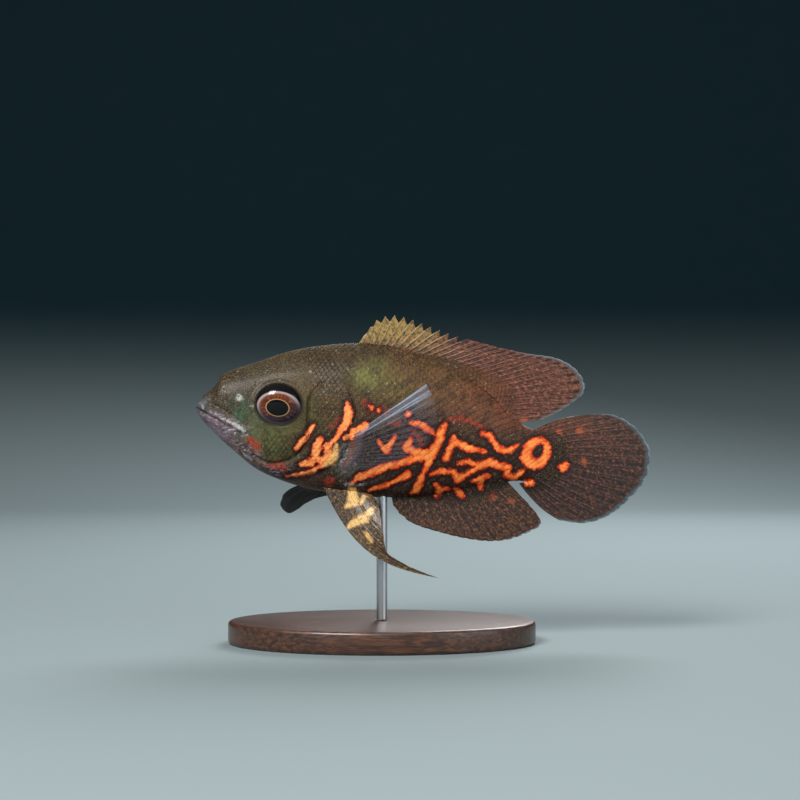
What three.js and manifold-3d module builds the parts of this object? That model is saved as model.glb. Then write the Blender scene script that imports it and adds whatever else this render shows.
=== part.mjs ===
// A young tiger oscar, a freshwater cichlid, swimming slowly with its head up, held on a display stand.
// Sizes are in millimetres. The fish is drawn level and straight in its own frame, with X from the tip
// of the snout to the tail, Y from its left side to its right side and Z up. It is then bent sideways
// a little and pitched, and stands over the middle of the stand's underside.
import * as THREE from "three";
import { mergeVertices } from "three/addons/utils/BufferGeometryUtils.js";
import Module from "manifold-3d";

const wasm = await Module();
wasm.setup();

// Driving sizes
const gap = 0.3; // kept between pieces that touch
const swimPitch = THREE.MathUtils.degToRad(7.5); // nose above tail
const snoutPlace = new THREE.Vector3(-40.4, 0, 52.4); // tip of the snout over the stand
const bodyLength = 78; // snout to the end of the fleshy tail stem
const ringPoints = 32;
const gillRise = 0.35; // how far the gill covers stand proud of the body
const gillThick = 1.5;
const gillSplit = 0.8; // how far each gill cover stays from the middle plane under the throat
const levelShare = 0.47; // height of the widest line, as a share of the body's depth
// Where the rings of the skin stand: close together at the snout, where the lips are, then evenly spaced
const snoutStations = [0, 0.5, 1.1, 1.9, 2.8, 3.8, 5, 6.3, 7.7, 9.2, 10.8, 12.5];
const evenFrom = 14.5;
const evenSteps = 24;

// Side outline of the body without fins, as distance from the snout and height
const backLine = [
  [0, 0.7], [1, 2.3], [2.6, 4.5], [4.1, 7.2], [6.7, 9.1], [10, 10.6], [18, 14.5], [27, 17.2],
  [36, 18.6], [44, 18.2], [52, 16.6], [60, 13.4], [66, 9.4], [70, 6.0], [74, 4.3], [80, 3.6],
];
const bellyLine = [
  [0, -1.3], [1.1, -2.7], [3.6, -4.9], [9.3, -9.0], [14.3, -12.1], [20, -13.9], [28, -15.1],
  [36, -15.1], [44, -14.5], [52, -13.1], [60, -10.8], [66, -8.8], [71, -7.4], [80, -6.8],
];
// Half of the body's width along it, from above
const sideLine = [
  [0, 1.5], [1, 2.5], [3, 3.7], [7, 5.0], [12, 6.0], [18, 6.8], [26, 7.3], [34, 7.1], [44, 6.2],
  [54, 4.9], [62, 3.6], [70, 2.3], [76, 1.6], [80, 1.2],
];
// How the back narrows to a ridge: 1 is round, more is sharper
const ridgeLine = [[0, 1], [14, 1.05], [28, 1.25], [50, 1.45], [80, 1.3]];

const mouth = { tipHeight: -0.5, slope: -0.39, corner: 11.2, lip: 0.5, lipReach: 1.1 };
const eye = { x: 17.9, z: 2.5, out: 5.3, radii: [5.2, 2.6, 4.5], tilt: THREE.MathUtils.degToRad(-12) };
const nostril = { x: 8.9, z: 3.4, radius: 0.45, turn: Math.acos(0.42), raise: 0.1 };
const stand = { length: 68, depth: 44, thick: 5, edge: 0.8, rodRadius: 1.2, sides: 48, rodSides: 20 };

// A smooth line through the points: its value at any place along it.
function lineThrough(points) {
  const line = new THREE.CubicInterpolant(points.map((p) => p[0]), points.map((p) => p[1]), 1);
  return (x) => line.evaluate(THREE.MathUtils.clamp(x, points[0][0], points.at(-1)[0]))[0];
}
const back = lineThrough(backLine);
const belly = lineThrough(bellyLine);
const side = lineThrough(sideLine);
const ridge = lineThrough(ridgeLine);

// The slow bend of the swimming body, as sideways shift: the head turns to the fish's left and the tail
// swings to its right.
const bend = { neck: 26, head: 2.4, stem: 48, tail: 2.6 };
function sway(x) {
  const head = Math.max(0, bend.neck - x) / bend.neck;
  const tail = Math.max(0, x - bend.stem) / (100 - bend.stem);
  return bend.tail * tail * tail * (1.6 - 0.6 * tail) - bend.head * head * head;
}

const mouthHeight = (x) => mouth.tipHeight + mouth.slope * x;

// A point on the skin: x along the body, turn from the back (0) over the left side to the belly (pi).
function skinPoint(x, turn, grow = 0) {
  const top = back(x), low = belly(x), half = side(x);
  const level = low + levelShare * (top - low);
  const c = Math.cos(turn), s = Math.sin(turn);
  const sharp = c > 0 ? ridge(x) : 1;
  let y = -half * Math.sign(s) * Math.abs(s) ** sharp;
  let z = level + (c > 0 ? top - level : level - low) * c;
  const outward = new THREE.Vector2(-s, c).normalize();
  const fade = THREE.MathUtils.smoothstep(mouth.corner + 1 - x, 0, 3);
  const lip = mouth.lip * fade * Math.exp(-(((z - mouthHeight(x)) / mouth.lipReach) ** 2));
  y += outward.x * (lip * Math.abs(s) + grow);
  z += outward.y * grow;
  return new THREE.Vector3(x, y, z);
}

// A smooth edge through the points, as a row of short straight bits.
function softEdge(points, bits) {
  const curve = new THREE.SplineCurve(points.map(([x, z]) => new THREE.Vector2(x, z)));
  return curve.getSpacedPoints(bits).map((p) => [p.x, p.y]);
}

// Turns a closed geometry into a solid.
function solid(geometry) {
  const g = geometry.clone();
  for (const name of Object.keys(g.attributes)) if (name !== "position") g.deleteAttribute(name);
  const m = mergeVertices(g, 1e-4);
  return new wasm.Manifold(new wasm.Mesh({
    numProp: 3,
    vertProperties: m.attributes.position.array,
    triVerts: new Uint32Array(m.index.array),
  }));
}

// Largest closed piece of a solid.
function largest(made) {
  return made.decompose().sort((a, b) => b.volume() - a.volume())[0];
}

// A tube through rings of points, each in the same order, with a flat end at either end.
function skinOf(rows) {
  const across = rows[0].length;
  const position = rows.flat().flatMap((p) => [p.x, p.y, p.z]);
  const index = [];
  for (let i = 0; i + 1 < rows.length; i++)
    for (let j = 0; j < across; j++) {
      const k = (j + 1) % across;
      const a = i * across + j, b = i * across + k, c = a + across, d = b + across;
      index.push(a, b, c, b, d, c);
    }
  // a fan round the middle of the first and last rings
  for (const [row, out] of [[0, false], [rows.length - 1, true]]) {
    const middle = rows[row].reduce((sum, p) => sum.add(p), new THREE.Vector3()).divideScalar(across);
    const centre = position.length / 3;
    position.push(middle.x, middle.y, middle.z);
    for (let j = 0; j < across; j++) {
      const a = row * across + j, b = row * across + ((j + 1) % across);
      index.push(...(out ? [centre, a, b] : [centre, b, a]));
    }
  }
  const g = new THREE.BufferGeometry();
  g.setAttribute("position", new THREE.Float32BufferAttribute(position, 3));
  g.setIndex(index);
  return g;
}

// Whole body without fins, grown outwards by a distance.
function bodyGeometry(grow = 0) {
  const stations = [...snoutStations];
  for (let i = 0; i <= evenSteps; i++) stations.push(evenFrom + (i / evenSteps) * (bodyLength - evenFrom));
  const rows = stations.map((x) => {
    const points = [];
    for (let i = 0; i < ringPoints; i++) points.push(skinPoint(x, (i / ringPoints) * 2 * Math.PI, grow));
    return points;
  });
  rows[0].forEach((p) => (p.x -= grow));
  rows.at(-1).forEach((p) => (p.x += grow));
  return skinOf(rows);
}

// A prism straight through the fish from a side outline, between two sideways places.
function prism(outline, from = -30, to = 30) {
  const shape = new THREE.Shape(outline.map(([x, z]) => new THREE.Vector2(x, z)));
  const g = new THREE.ExtrudeGeometry(shape, { depth: to - from, bevelEnabled: false });
  g.rotateX(Math.PI / 2);
  g.translate(0, to, 0);
  return solid(g);
}

// The outline moved outwards by a distance.
function widen(outline, by) {
  const n = outline.length;
  const area = outline.reduce((sum, [x, z], i) => {
    const [nx, nz] = outline[(i + 1) % n];
    return sum + x * nz - nx * z;
  }, 0);
  const way = Math.sign(area);
  return outline.map(([x, z], i) => {
    const [px, pz] = outline[(i + n - 1) % n], [nx, nz] = outline[(i + 1) % n];
    const along = new THREE.Vector2(nx - px, nz - pz).normalize();
    return [x + way * along.y * by, z - way * along.x * by];
  });
}

const jawOutline = [
  [-6, mouthHeight(-6)], [mouth.corner, mouthHeight(mouth.corner)], [12.6, -8], [15.2, -11.2],
  [15.4, -20], [-6, -20],
];
// The gill cover's free edge, from the nape down to the throat, and the cheek's rear edge in front of it
const gillEdge = softEdge([
  [25.6, 19.5], [28, 14], [31.8, 8.6], [34.1, 3.6], [33.4, -2.6], [32.7, -6.6], [30.2, -9.3], [25.6, -11.5],
  [20.4, -12.8], [15.8, -12.5],
], 20);
const cheekEdge = softEdge([
  [30.5, 9.6], [26.6, 8.2], [24.4, 5.2], [24.7, 0.6], [25.1, -3.8], [23.8, -7.4], [20.8, -9.7], [17.2, -11.2],
], 14);
const headOutline = [[-8, 30], [25, 30], ...gillEdge, [15.4, -20], [-8, -20]];
const gillOutline = [[38, 9], ...cheekEdge, [16.6, -14.5], [26, -18], [38, -10]];
const stemStart = 66;
const stemOutline = [[stemStart, 30], [90, 30], [90, -30], [stemStart, -30]];

// The body parted into its named pieces by thin cuts.
function bodyPieces() {
  const whole = solid(bodyGeometry());
  const skinUnder = solid(bodyGeometry(-gillThick));
  const skinOver = solid(bodyGeometry(gillRise));
  const headPrism = prism(headOutline), jawPrism = prism(jawOutline);
  const pieces = {};
  let head = whole.intersect(headPrism).subtract(prism(widen(jawOutline, gap)));
  pieces.lower_jaw = whole.intersect(jawPrism);
  const trunk = whole.subtract(prism(widen(headOutline, gap)));
  pieces.trunk = trunk.subtract(prism(widen(stemOutline, gap)));
  pieces.tail_stem = trunk.intersect(prism(stemOutline));
  const pocketFloor = solid(bodyGeometry(-gillThick - gap));
  for (const [name, from, to] of [["left", -30, -gillSplit], ["right", gillSplit, 30]]) {
    const flap = skinOver.subtract(skinUnder).intersect(prism(gillOutline, from, to)).intersect(headPrism);
    pieces["gill_cover_" + name] = flap.subtract(prism(widen(jawOutline, gap)));
    const pocket = prism(widen(gillOutline, gap), from - 1, to + 1).subtract(pocketFloor);
    head = head.subtract(pocket);
  }
  for (const way of [-1, 1]) {
    head = head.subtract(solid(eyeball(way, gap)));
    const pit = new THREE.SphereGeometry(nostril.radius, 8, 6);
    const out = Math.abs(skinPoint(nostril.x, nostril.turn).y) + nostril.raise;
    pit.translate(nostril.x, way * out, nostril.z);
    head = head.subtract(solid(pit));
    pieces[way < 0 ? "eye_left" : "eye_right"] = solid(eyeball(way, 0));
  }
  pieces.head = head;
  return pieces;
}

// A flattened eyeball, looking a little down.
function eyeball(way, grow) {
  const g = new THREE.SphereGeometry(1, 20, 14);
  g.rotateX(Math.PI / 2);
  g.scale(...eye.radii.map((r) => r + grow));
  g.rotateX(way * eye.tilt);
  g.translate(eye.x, way * eye.out, eye.z);
  return g;
}

// A fin: a membrane between a root curve and an edge curve, with a ridge raised on it for each ray.
// The columns of a ridge are its crest and the two feet beside it.
function finGeometry(fin) {
  const { root, edge, rays, rows, rootHalf, edgeHalf, ridgeHeight, notch = () => 0, bow = () => null } = fin;
  const curve = (points) => new THREE.CatmullRomCurve3(
    points.map((p) => new THREE.Vector3(...p)), false, "centripetal",
  );
  const rootCurve = curve(root), edgeCurve = curve(edge);
  const columns = [];
  for (let i = 0; i < rays; i++)
    for (const [foot, crest] of [[-0.3, 0], [0, 1], [0.3, 0]]) {
      const place = i + foot;
      if (place >= 0 && place <= rays - 1) columns.push([place / (rays - 1), crest]);
    }
  const middle = ([u, crest], v) => {
    const from = rootCurve.getPointAt(u);
    const to = edgeCurve.getPointAt(u).lerp(from, crest ? 0 : notch(u));
    const bend = bow(u);
    const p = from.lerp(to, v);
    return bend ? p.addScaledVector(bend, Math.sin(Math.PI * v)) : p;
  };
  const faces = [[], []];
  columns.forEach((column, i) => {
    const before = columns[Math.max(0, i - 1)], after = columns[Math.min(columns.length - 1, i + 1)];
    const line = [[], []];
    for (let j = 0; j <= rows; j++) {
      const v = j / rows, here = middle(column, v);
      const along = middle(column, Math.min(1, v + 0.05)).sub(middle(column, Math.max(0, v - 0.05)));
      const across = middle(after, v).sub(middle(before, v));
      const normal = across.cross(along).normalize();
      const crest = column[1] * ridgeHeight * (1 - 0.7 * v);
      const half = THREE.MathUtils.lerp(rootHalf, edgeHalf, v ** 0.7) + crest;
      line[0].push(here.clone().addScaledVector(normal, half));
      line[1].push(here.clone().addScaledVector(normal, -half));
    }
    faces[0].push(line[0]);
    faces[1].push(line[1]);
  });
  // each column is a thin ring: up one face and down the other
  const rings = columns.map((_, i) => [...faces[0][i], ...faces[1][i].slice().reverse()]);
  return ringSolid(rings, rows);
}

// Closes a row of thin rings, with the same diagonals on both faces.
function ringSolid(rings, rows) {
  const across = rings[0].length, position = rings.flat().flatMap((p) => [p.x, p.y, p.z]), index = [];
  for (let i = 0; i + 1 < rings.length; i++)
    for (let j = 0; j < across; j++) {
      const k = (j + 1) % across;
      const a = i * across + j, b = i * across + k, c = a + across, d = b + across;
      index.push(...(j < rows ? [a, c, b, b, c, d] : [a, d, b, a, c, d]));
    }
  for (const [row, out] of [[0, true], [rings.length - 1, false]])
    for (let j = 0; j < rows; j++) {
      const a = row * across + j, b = a + 1, c = row * across + across - 1 - j, d = c - 1;
      index.push(...(out ? [a, b, c, b, d, c] : [a, c, b, b, c, d]));
    }
  const g = new THREE.BufferGeometry();
  g.setAttribute("position", new THREE.Float32BufferAttribute(position, 3));
  g.setIndex(index);
  return solid(g);
}

const flat = (points) => points.map(([x, z]) => [x, 0, z]);

const dorsal = {
  root: flat([[32.5, 17.2], [44, 17.4], [56, 14.2], [64, 10.4], [69.5, 5.2]]),
  edge: flat([
    [34.3, 20.4], [36.6, 24.2], [39.8, 25.6], [42.8, 25.5], [47.2, 24.5], [54, 22.9], [63, 21.6],
    [70.5, 21], [77.3, 20.8], [81.3, 19.3], [83.8, 16.7], [84.2, 14.2], [82.6, 12.2], [79.4, 9.4],
    [75.6, 6.9],
  ]),
  spines: 13, rays: 26, rows: 5, rootHalf: 1.0, edgeHalf: 0.27, ridgeHeight: 0.26,
};
const anal = {
  root: flat([[44.4, -13.2], [52, -12.1], [60, -9.8], [66, -7.8], [69.2, -7.2]]),
  edge: flat([
    [45.4, -16.2], [47.3, -18.1], [50.5, -19.7], [57.1, -20.9], [61.9, -21.4], [67.4, -21.4],
    [72, -20.4], [76, -18.3], [78.5, -16.2], [77.6, -14.3], [75.4, -12.3],
  ]),
  rays: 15, rows: 4, rootHalf: 0.9, edgeHalf: 0.27, ridgeHeight: 0.24,
};
const caudal = {
  root: flat([[72.4, 3.4], [75.4, 2.6], [76.6, -2], [75.6, -6.2], [72.4, -7.8]]),
  edge: flat([
    [86, 9.4], [90.4, 10], [93.7, 9.4], [96.6, 7.9], [98.8, 5.8], [100.4, 3.5], [100.9, 0.3],
    [100.3, -3.6], [98.9, -6.1], [96.7, -9], [94.5, -11.4], [91.5, -13.5], [87.8, -14.8], [82.4, -14.8],
  ]),
  rays: 16, rows: 6, rootHalf: 1.0, edgeHalf: 0.27, ridgeHeight: 0.26,
};
// Paired fins are drawn for the left side, the right one mirrored with its own spread
const pectoral = {
  root: [[34.0, -6.2, -2.6], [34.2, -6.2, -6.0], [33.4, -5.4, -9.3]],
  edge: [
    [49.0, -15.5, 11.3], [50.9, -15.2, 8.4], [52.2, -14.9, 4.6], [51.6, -14.4, 0.6], [49.2, -13.6, -3],
    [45.2, -12.4, -6.2], [40.4, -10.6, -8.6],
  ],
  rays: 12, rows: 5, rootHalf: 0.7, edgeHalf: 0.26, ridgeHeight: 0.2,
};
const pelvic = {
  root: [[29.6, -2.4, -14.2], [34, -2.3, -14.3], [39.4, -1.7, -13.8]],
  edge: [
    [57.3, -7.6, -30.2], [50.5, -7.2, -28.6], [45.6, -6.9, -26.4], [44.4, -6.6, -23.4], [43.4, -5.6, -19.8],
    [42.3, -3.9, -16.6], [41.4, -2.4, -15.2],
  ],
  rays: 6, rows: 8, rootHalf: 0.65, edgeHalf: 0.26, ridgeHeight: 0.22,
};
// The right pelvic fin is held out and forward, so that it looks short from the left
const pelvicOut = {
  root: [[25.8, 2.3, -13.9], [28.8, 2.5, -14.2], [32.0, 2.3, -14.3]],
  edge: [
    [20.3, 12.2, -18.4], [19.9, 14.4, -20.4], [21.6, 15.2, -22.0], [23.6, 13.0, -21.0], [25.4, 10.4, -19.2],
    [28.2, 6.8, -17.2], [31.6, 4.0, -15.8],
  ],
  rays: 6, rows: 6, rootHalf: 0.65, edgeHalf: 0.26, ridgeHeight: 0.22,
};

const spineNotch = (u) => (u < dorsal.spines / dorsal.rays ? 0.26 : 0.012);
const mirrored = (points, spread) => points.map(([x, y, z]) => [x, -y * spread, z]);

function finPieces() {
  const gills = solid(bodyGeometry(gillRise + gap)).intersect(prism(widen(headOutline, gap)));
  const clear = solid(bodyGeometry(gap)).add(gills);
  const leading = (u) => new THREE.Vector3(-2.2, -0.6, -4.4).multiplyScalar((1 - u) ** 2);
  const forward = (u) => new THREE.Vector3(-1.5, 0, -0.2).multiplyScalar(1 - u);
  const fins = {
    dorsal_fin: finGeometry({ ...dorsal, notch: spineNotch }),
    anal_fin: finGeometry({ ...anal, notch: () => 0.012 }),
    caudal_fin: finGeometry({ ...caudal, bow: (u) => new THREE.Vector3(0, 0, 0.9 * (1 - 2 * u)) }),
    pectoral_fin_left: finGeometry(pectoral),
    pectoral_fin_right: finGeometry({
      ...pectoral, root: mirrored(pectoral.root, 1), edge: mirrored(pectoral.edge, 0.92),
    }),
    pelvic_fin_left: finGeometry({ ...pelvic, bow: leading }),
    pelvic_fin_right: finGeometry({ ...pelvicOut, bow: forward }),
  };
  for (const name in fins) fins[name] = largest(fins[name].subtract(clear));
  return fins;
}

const finish = {
  skin: new THREE.MeshStandardMaterial({ color: 0x4d3a26, roughness: 0.45, metalness: 0.05 }),
  head: new THREE.MeshStandardMaterial({ color: 0x55503a, roughness: 0.42, metalness: 0.05 }),
  fin: new THREE.MeshStandardMaterial({ color: 0x3c2418, roughness: 0.5, metalness: 0 }),
  clearFin: new THREE.MeshStandardMaterial({ color: 0x77808c, roughness: 0.4, metalness: 0 }),
  eye: new THREE.MeshStandardMaterial({ color: 0x5a2f1c, roughness: 0.08, metalness: 0 }),
  wood: new THREE.MeshStandardMaterial({ color: 0x2c1c14, roughness: 0.4, metalness: 0 }),
  steel: new THREE.MeshStandardMaterial({ color: 0xb9bcc0, roughness: 0.3, metalness: 1 }),
};
const finishOf = {
  head: finish.head, lower_jaw: finish.head, gill_cover_left: finish.head, gill_cover_right: finish.head,
  trunk: finish.skin, tail_stem: finish.skin, eye_left: finish.eye, eye_right: finish.eye,
  dorsal_fin: finish.fin, anal_fin: finish.fin, caudal_fin: finish.fin,
  pelvic_fin_left: finish.fin, pelvic_fin_right: finish.fin,
  pectoral_fin_left: finish.clearFin, pectoral_fin_right: finish.clearFin,
};

// A solid as a named mesh, with the body's sideways bend put in.
function fleshMesh(name, made) {
  const m = made.getMesh(), n = m.numProp, count = m.numVert;
  const position = new Float32Array(count * 3);
  for (let i = 0; i < count; i++) {
    const [x, y, z] = m.vertProperties.subarray(i * n, i * n + 3);
    position.set([x, y + sway(x), z], i * 3);
  }
  const g = new THREE.BufferGeometry();
  g.setAttribute("position", new THREE.BufferAttribute(position, 3));
  g.setIndex(new THREE.BufferAttribute(m.triVerts, 1));
  const mesh = new THREE.Mesh(g, finishOf[name]);
  mesh.name = name;
  return mesh;
}

const fish = new THREE.Group();
fish.rotation.y = swimPitch;
fish.position.copy(snoutPlace);
for (const [name, made] of Object.entries({ ...bodyPieces(), ...finPieces() })) {
  fish.add(fleshMesh(name, largest(made)));
}
fish.updateMatrix();

// The oval base, its upper edge rounded off by a small bevel.
function standBase() {
  const r = 1, b = stand.edge / (stand.length / 2);
  const profile = [[0, 0], [r, 0], [r, stand.thick - stand.edge], [r - b, stand.thick], [0, stand.thick]];
  const g = new THREE.LatheGeometry(profile.map(([x, z]) => new THREE.Vector2(x, z)), stand.sides);
  g.rotateX(Math.PI / 2);
  g.scale(stand.length / 2, stand.depth / 2, 1);
  const mesh = new THREE.Mesh(g, finish.wood);
  mesh.name = "stand_base";
  return mesh;
}

// The rod under the belly, its top cut to the body's curve.
function standRod() {
  const top = snoutPlace.z, low = stand.thick + gap;
  const g = new THREE.CylinderGeometry(stand.rodRadius, stand.rodRadius, top - low, stand.rodSides);
  g.rotateX(Math.PI / 2);
  g.translate(0, sway(-snoutPlace.x), (top + low) / 2);
  const body = bodyGeometry(gap);
  const p = body.attributes.position;
  for (let i = 0; i < p.count; i++) p.setY(i, p.getY(i) + sway(p.getX(i)));
  body.applyMatrix4(fish.matrix);
  const m = largest(solid(g).subtract(solid(body))).getMesh();
  const made = new THREE.BufferGeometry();
  made.setAttribute("position", new THREE.BufferAttribute(new Float32Array(m.vertProperties), 3));
  made.setIndex(new THREE.BufferAttribute(m.triVerts, 1));
  const mesh = new THREE.Mesh(made, finish.steel);
  mesh.name = "stand_rod";
  return mesh;
}

const model = new THREE.Group();
model.add(fish, standBase(), standRod());
export default model;
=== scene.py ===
# A young tiger oscar, held on a display stand: the looks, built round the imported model.
# Shapes are worked out in millimetres in the fish's own frame, with x from the tip of the snout to the
# tail, y from its left side to its right side and z up, and are then pitched and set over the stand.
import bpy
import bmesh
import numpy as np
from math import cos, sin, pi, radians
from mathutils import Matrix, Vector


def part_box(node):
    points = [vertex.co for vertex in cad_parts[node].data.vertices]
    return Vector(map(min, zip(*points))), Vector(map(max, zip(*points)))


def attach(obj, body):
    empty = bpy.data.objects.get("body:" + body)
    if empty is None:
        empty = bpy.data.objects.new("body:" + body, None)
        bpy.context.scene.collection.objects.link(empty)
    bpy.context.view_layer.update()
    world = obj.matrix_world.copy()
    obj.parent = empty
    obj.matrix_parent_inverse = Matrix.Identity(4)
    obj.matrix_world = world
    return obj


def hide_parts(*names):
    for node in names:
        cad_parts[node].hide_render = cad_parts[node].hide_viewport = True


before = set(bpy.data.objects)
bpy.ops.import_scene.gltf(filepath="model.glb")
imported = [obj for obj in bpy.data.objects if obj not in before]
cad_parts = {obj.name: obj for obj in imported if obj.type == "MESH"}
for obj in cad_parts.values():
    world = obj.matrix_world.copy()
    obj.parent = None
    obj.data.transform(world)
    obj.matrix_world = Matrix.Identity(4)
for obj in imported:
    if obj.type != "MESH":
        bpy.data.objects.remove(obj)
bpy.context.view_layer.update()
mm = 0.001
draws = np.random.default_rng(11)

pose = {"pitch": radians(7.5), "snout": (-40.4, 0.0, 52.4)}
bend = {"neck": 26, "head": 2.4, "stem": 48, "tail": 2.6}


# Lines and places

def hermite(at, values, slopes, t):
    i = np.clip(np.searchsorted(at, t) - 1, 0, len(at) - 2)
    h = at[i + 1] - at[i]
    p = (t - at[i]) / h
    if values.ndim > 1:
        h, p = h[:, None], p[:, None]
    near = (1 + 2 * p) * (1 - p) ** 2 * values[i] + p * (1 - p) ** 2 * h * slopes[i]
    far = p * p * (3 - 2 * p) * values[i + 1] + p * p * (p - 1) * h * slopes[i + 1]
    return near + far


def lineThrough(points):  # the value of a smooth line at any place along it
    at, values = np.array(points, float).T
    slopes = np.gradient(values, at)
    return lambda x: hermite(at, values, slopes, np.clip(x, at[0], at[-1]))


def curveThrough(points):  # a smooth curve, read by its share of the length
    p = np.array(points, float)
    at = np.concatenate([[0], np.cumsum(np.linalg.norm(np.diff(p, axis=0), axis=1) ** 0.5)])
    t = np.linspace(0, at[-1], 400)
    q = hermite(at, p, np.gradient(p, at, axis=0), t)
    run = np.concatenate([[0], np.cumsum(np.linalg.norm(np.diff(q, axis=0), axis=1))])
    return lambda u: np.stack([np.interp(u * run[-1], run, q[:, k]) for k in range(3)], -1)


def sway(x):
    head = np.clip(bend["neck"] - x, 0, None) / bend["neck"]
    tail = np.clip(x - bend["stem"], 0, None) / (100 - bend["stem"])
    return bend["tail"] * tail ** 2 * (1.6 - 0.6 * tail) - bend["head"] * head ** 2


def toRow(p):  # the fish's frame in mm to the model's in metres
    x, y, z = p[..., 0], p[..., 1] + sway(p[..., 0]), p[..., 2]
    c, s = cos(pose["pitch"]), sin(pose["pitch"])
    placed = np.stack([x * c + z * s, y, z * c - x * s], -1) + np.array(pose["snout"])
    return placed * mm


def fromRow(q):
    q = q / mm - np.array(pose["snout"])
    c, s = cos(pose["pitch"]), sin(pose["pitch"])
    x, z = q[..., 0] * c - q[..., 2] * s, q[..., 2] * c + q[..., 0] * s
    return np.stack([x, q[..., 1] - sway(x), z], -1)


def ease(value, low, high):
    t = np.clip((value - low) / (high - low), 0, 1)
    return t * t * (3 - 2 * t)


def bump(distance, width):
    return np.exp(-(distance / width) ** 2)


def awayFrom(x, z, line):  # distance in the side view to a line, less the line's own half width
    best = np.full(x.shape, 99.0)
    spots = [tuple(p) + (0.0,) * (3 - len(p)) for p in line]
    for (ax, az, aw), (bx, bz, bw) in zip(spots, spots[1:] or spots):
        dx, dz = bx - ax, bz - az
        t = np.clip(((x - ax) * dx + (z - az) * dz) / (dx * dx + dz * dz + 1e-9), 0, 1)
        d = np.hypot(x - ax - t * dx, z - az - t * dz) - (aw + t * (bw - aw))
        best = np.minimum(best, d)
    return best


def nearest(x, z, lines):
    return np.min([awayFrom(x, z, line) for line in lines], axis=0)


def within(x, z, outline):  # signed distance in the side view to a closed outline, below zero inside
    inside = np.zeros(x.shape, bool)
    for (ax, az), (bx, bz) in zip(outline, outline[1:] + outline[:1]):
        if az != bz:
            inside ^= ((az > z) != (bz > z)) & (x < (bx - ax) * (z - az) / (bz - az) + ax)
    d = awayFrom(x, z, outline + outline[:1])
    return np.where(inside, -d, d)


def ellipse(x, z, cx, cz, rx, rz, turn=0.0):  # 1 on the ellipse, less inside it
    c, s = cos(turn), sin(turn)
    u, v = (x - cx) * c + (z - cz) * s, (z - cz) * c - (x - cx) * s
    return np.hypot(u / rx, v / rz)


# Node maths

class Wire:  # one socket, so that maths on it reads as a plain expression
    def __init__(self, finish, socket):
        self.finish, self.socket = finish, socket

    def __add__(self, other): return self.finish.maths("ADD", self, other)
    __radd__ = __add__
    def __mul__(self, other): return self.finish.maths("MULTIPLY", self, other)
    __rmul__ = __mul__
    def __sub__(self, other): return self.finish.maths("SUBTRACT", self, other)
    def __rsub__(self, other): return self.finish.maths("SUBTRACT", other, self)


class Finish:  # one material and its nodes
    def __init__(self, name):
        self.material = bpy.data.materials.new(name)
        self.material.use_nodes = True
        self.tree = self.material.node_tree
        self.shader = self.tree.nodes["Principled BSDF"]

    def node(self, kind, settings=None, sockets=None, out=0):
        made = self.tree.nodes.new(kind)
        for key, value in (settings or {}).items():
            if key == "stops":
                stops = made.color_ramp.elements
                stops[0].color, stops[1].color = value[0][1], value[-1][1]
                stops[0].position, stops[1].position = value[0][0], value[-1][0]
                for place, colour in value[1:-1]:
                    stops.new(place).color = colour
            else:
                setattr(made, key, value)
        for key, value in (sockets or {}).items():
            if isinstance(value, Wire):
                self.tree.links.new(value.socket, made.inputs[key])
            else:
                made.inputs[key].default_value = value
        return Wire(self, made.outputs[out])

    def maths(self, kind, *values):
        return self.node("ShaderNodeMath", {"operation": kind}, dict(enumerate(values)))

    def colour(self, name):
        return self.node("ShaderNodeAttribute", {"attribute_name": name})

    def field(self, name):
        return self.node("ShaderNodeAttribute", {"attribute_name": name}, out=2)

    def place(self, stretch=(1, 1, 1)):
        spot = self.node("ShaderNodeTexCoord", out=3)
        return self.node("ShaderNodeMapping", {}, {"Vector": spot, "Scale": stretch})

    def noise(self, scale, detail=2.0, rough=0.5, where=None, twist=0.0):
        values = {"Vector": where or self.place(), "Scale": scale, "Detail": detail}
        values.update({"Roughness": rough, "Distortion": twist})
        return self.node("ShaderNodeTexNoise", {}, values)

    def step(self, value, low, high):
        if low > high:
            return 1 - self.step(value, high, low)
        sockets = {"Value": value, "From Min": low, "From Max": high}
        return self.node("ShaderNodeMapRange", {"interpolation_type": "SMOOTHSTEP"}, sockets)

    def mix(self, share, a, b):  # colours are wires, or as a screen shows them
        a, b = (c if isinstance(c, Wire) else tint(*c) for c in (a, b))
        return self.node("ShaderNodeMix", {"data_type": "RGBA"}, {0: share, 6: a, 7: b}, out=2)

    def laid(self, below, *layers):  # each layer is a share and a colour, from the lowest up
        for share, colour in layers:
            below = self.mix(share, below, colour)
        return below

    def ramp(self, value, stops):
        stops = [(place, tint(*colour)) for place, colour in stops]
        return self.node("ShaderNodeValToRGB", {"stops": stops}, {0: value})

    def bumped(self, height, distance, strength):
        return self.node("ShaderNodeBump", {}, {"Height": height, "Distance": distance, "Strength": strength})

    def wear(self, **looks):  # sets the shader's own sockets
        for key, value in looks.items():
            socket = self.shader.inputs[key.replace("_", " ")]
            if isinstance(value, Wire):
                self.tree.links.new(value.socket, socket)
            else:
                socket.default_value = value
        return self.material


def tint(r, g, b):  # a colour as seen on a screen, 0 to 255, as linear light
    parts = [v / 255 for v in (r, g, b)]
    return tuple(v / 12.92 if v < 0.04045 else ((v + 0.055) / 1.055) ** 2.4 for v in parts) + (1.0,)


# Pieces

def inScene(name, data):
    made = bpy.data.objects.new(name, data)
    bpy.context.scene.collection.objects.link(made)
    return made


def addPiece(name, mesh, material, slot, *nodes):
    piece = inScene(name, mesh)
    mesh.materials.append(material)
    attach(piece, "root")
    if nodes:
        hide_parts(*nodes)
    return piece


def meshFrom(bm, name):
    bmesh.ops.recalc_face_normals(bm, faces=bm.faces)
    mesh = bpy.data.meshes.new(name)
    bm.to_mesh(mesh)
    bm.free()
    mesh.shade_smooth()
    return mesh


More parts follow.
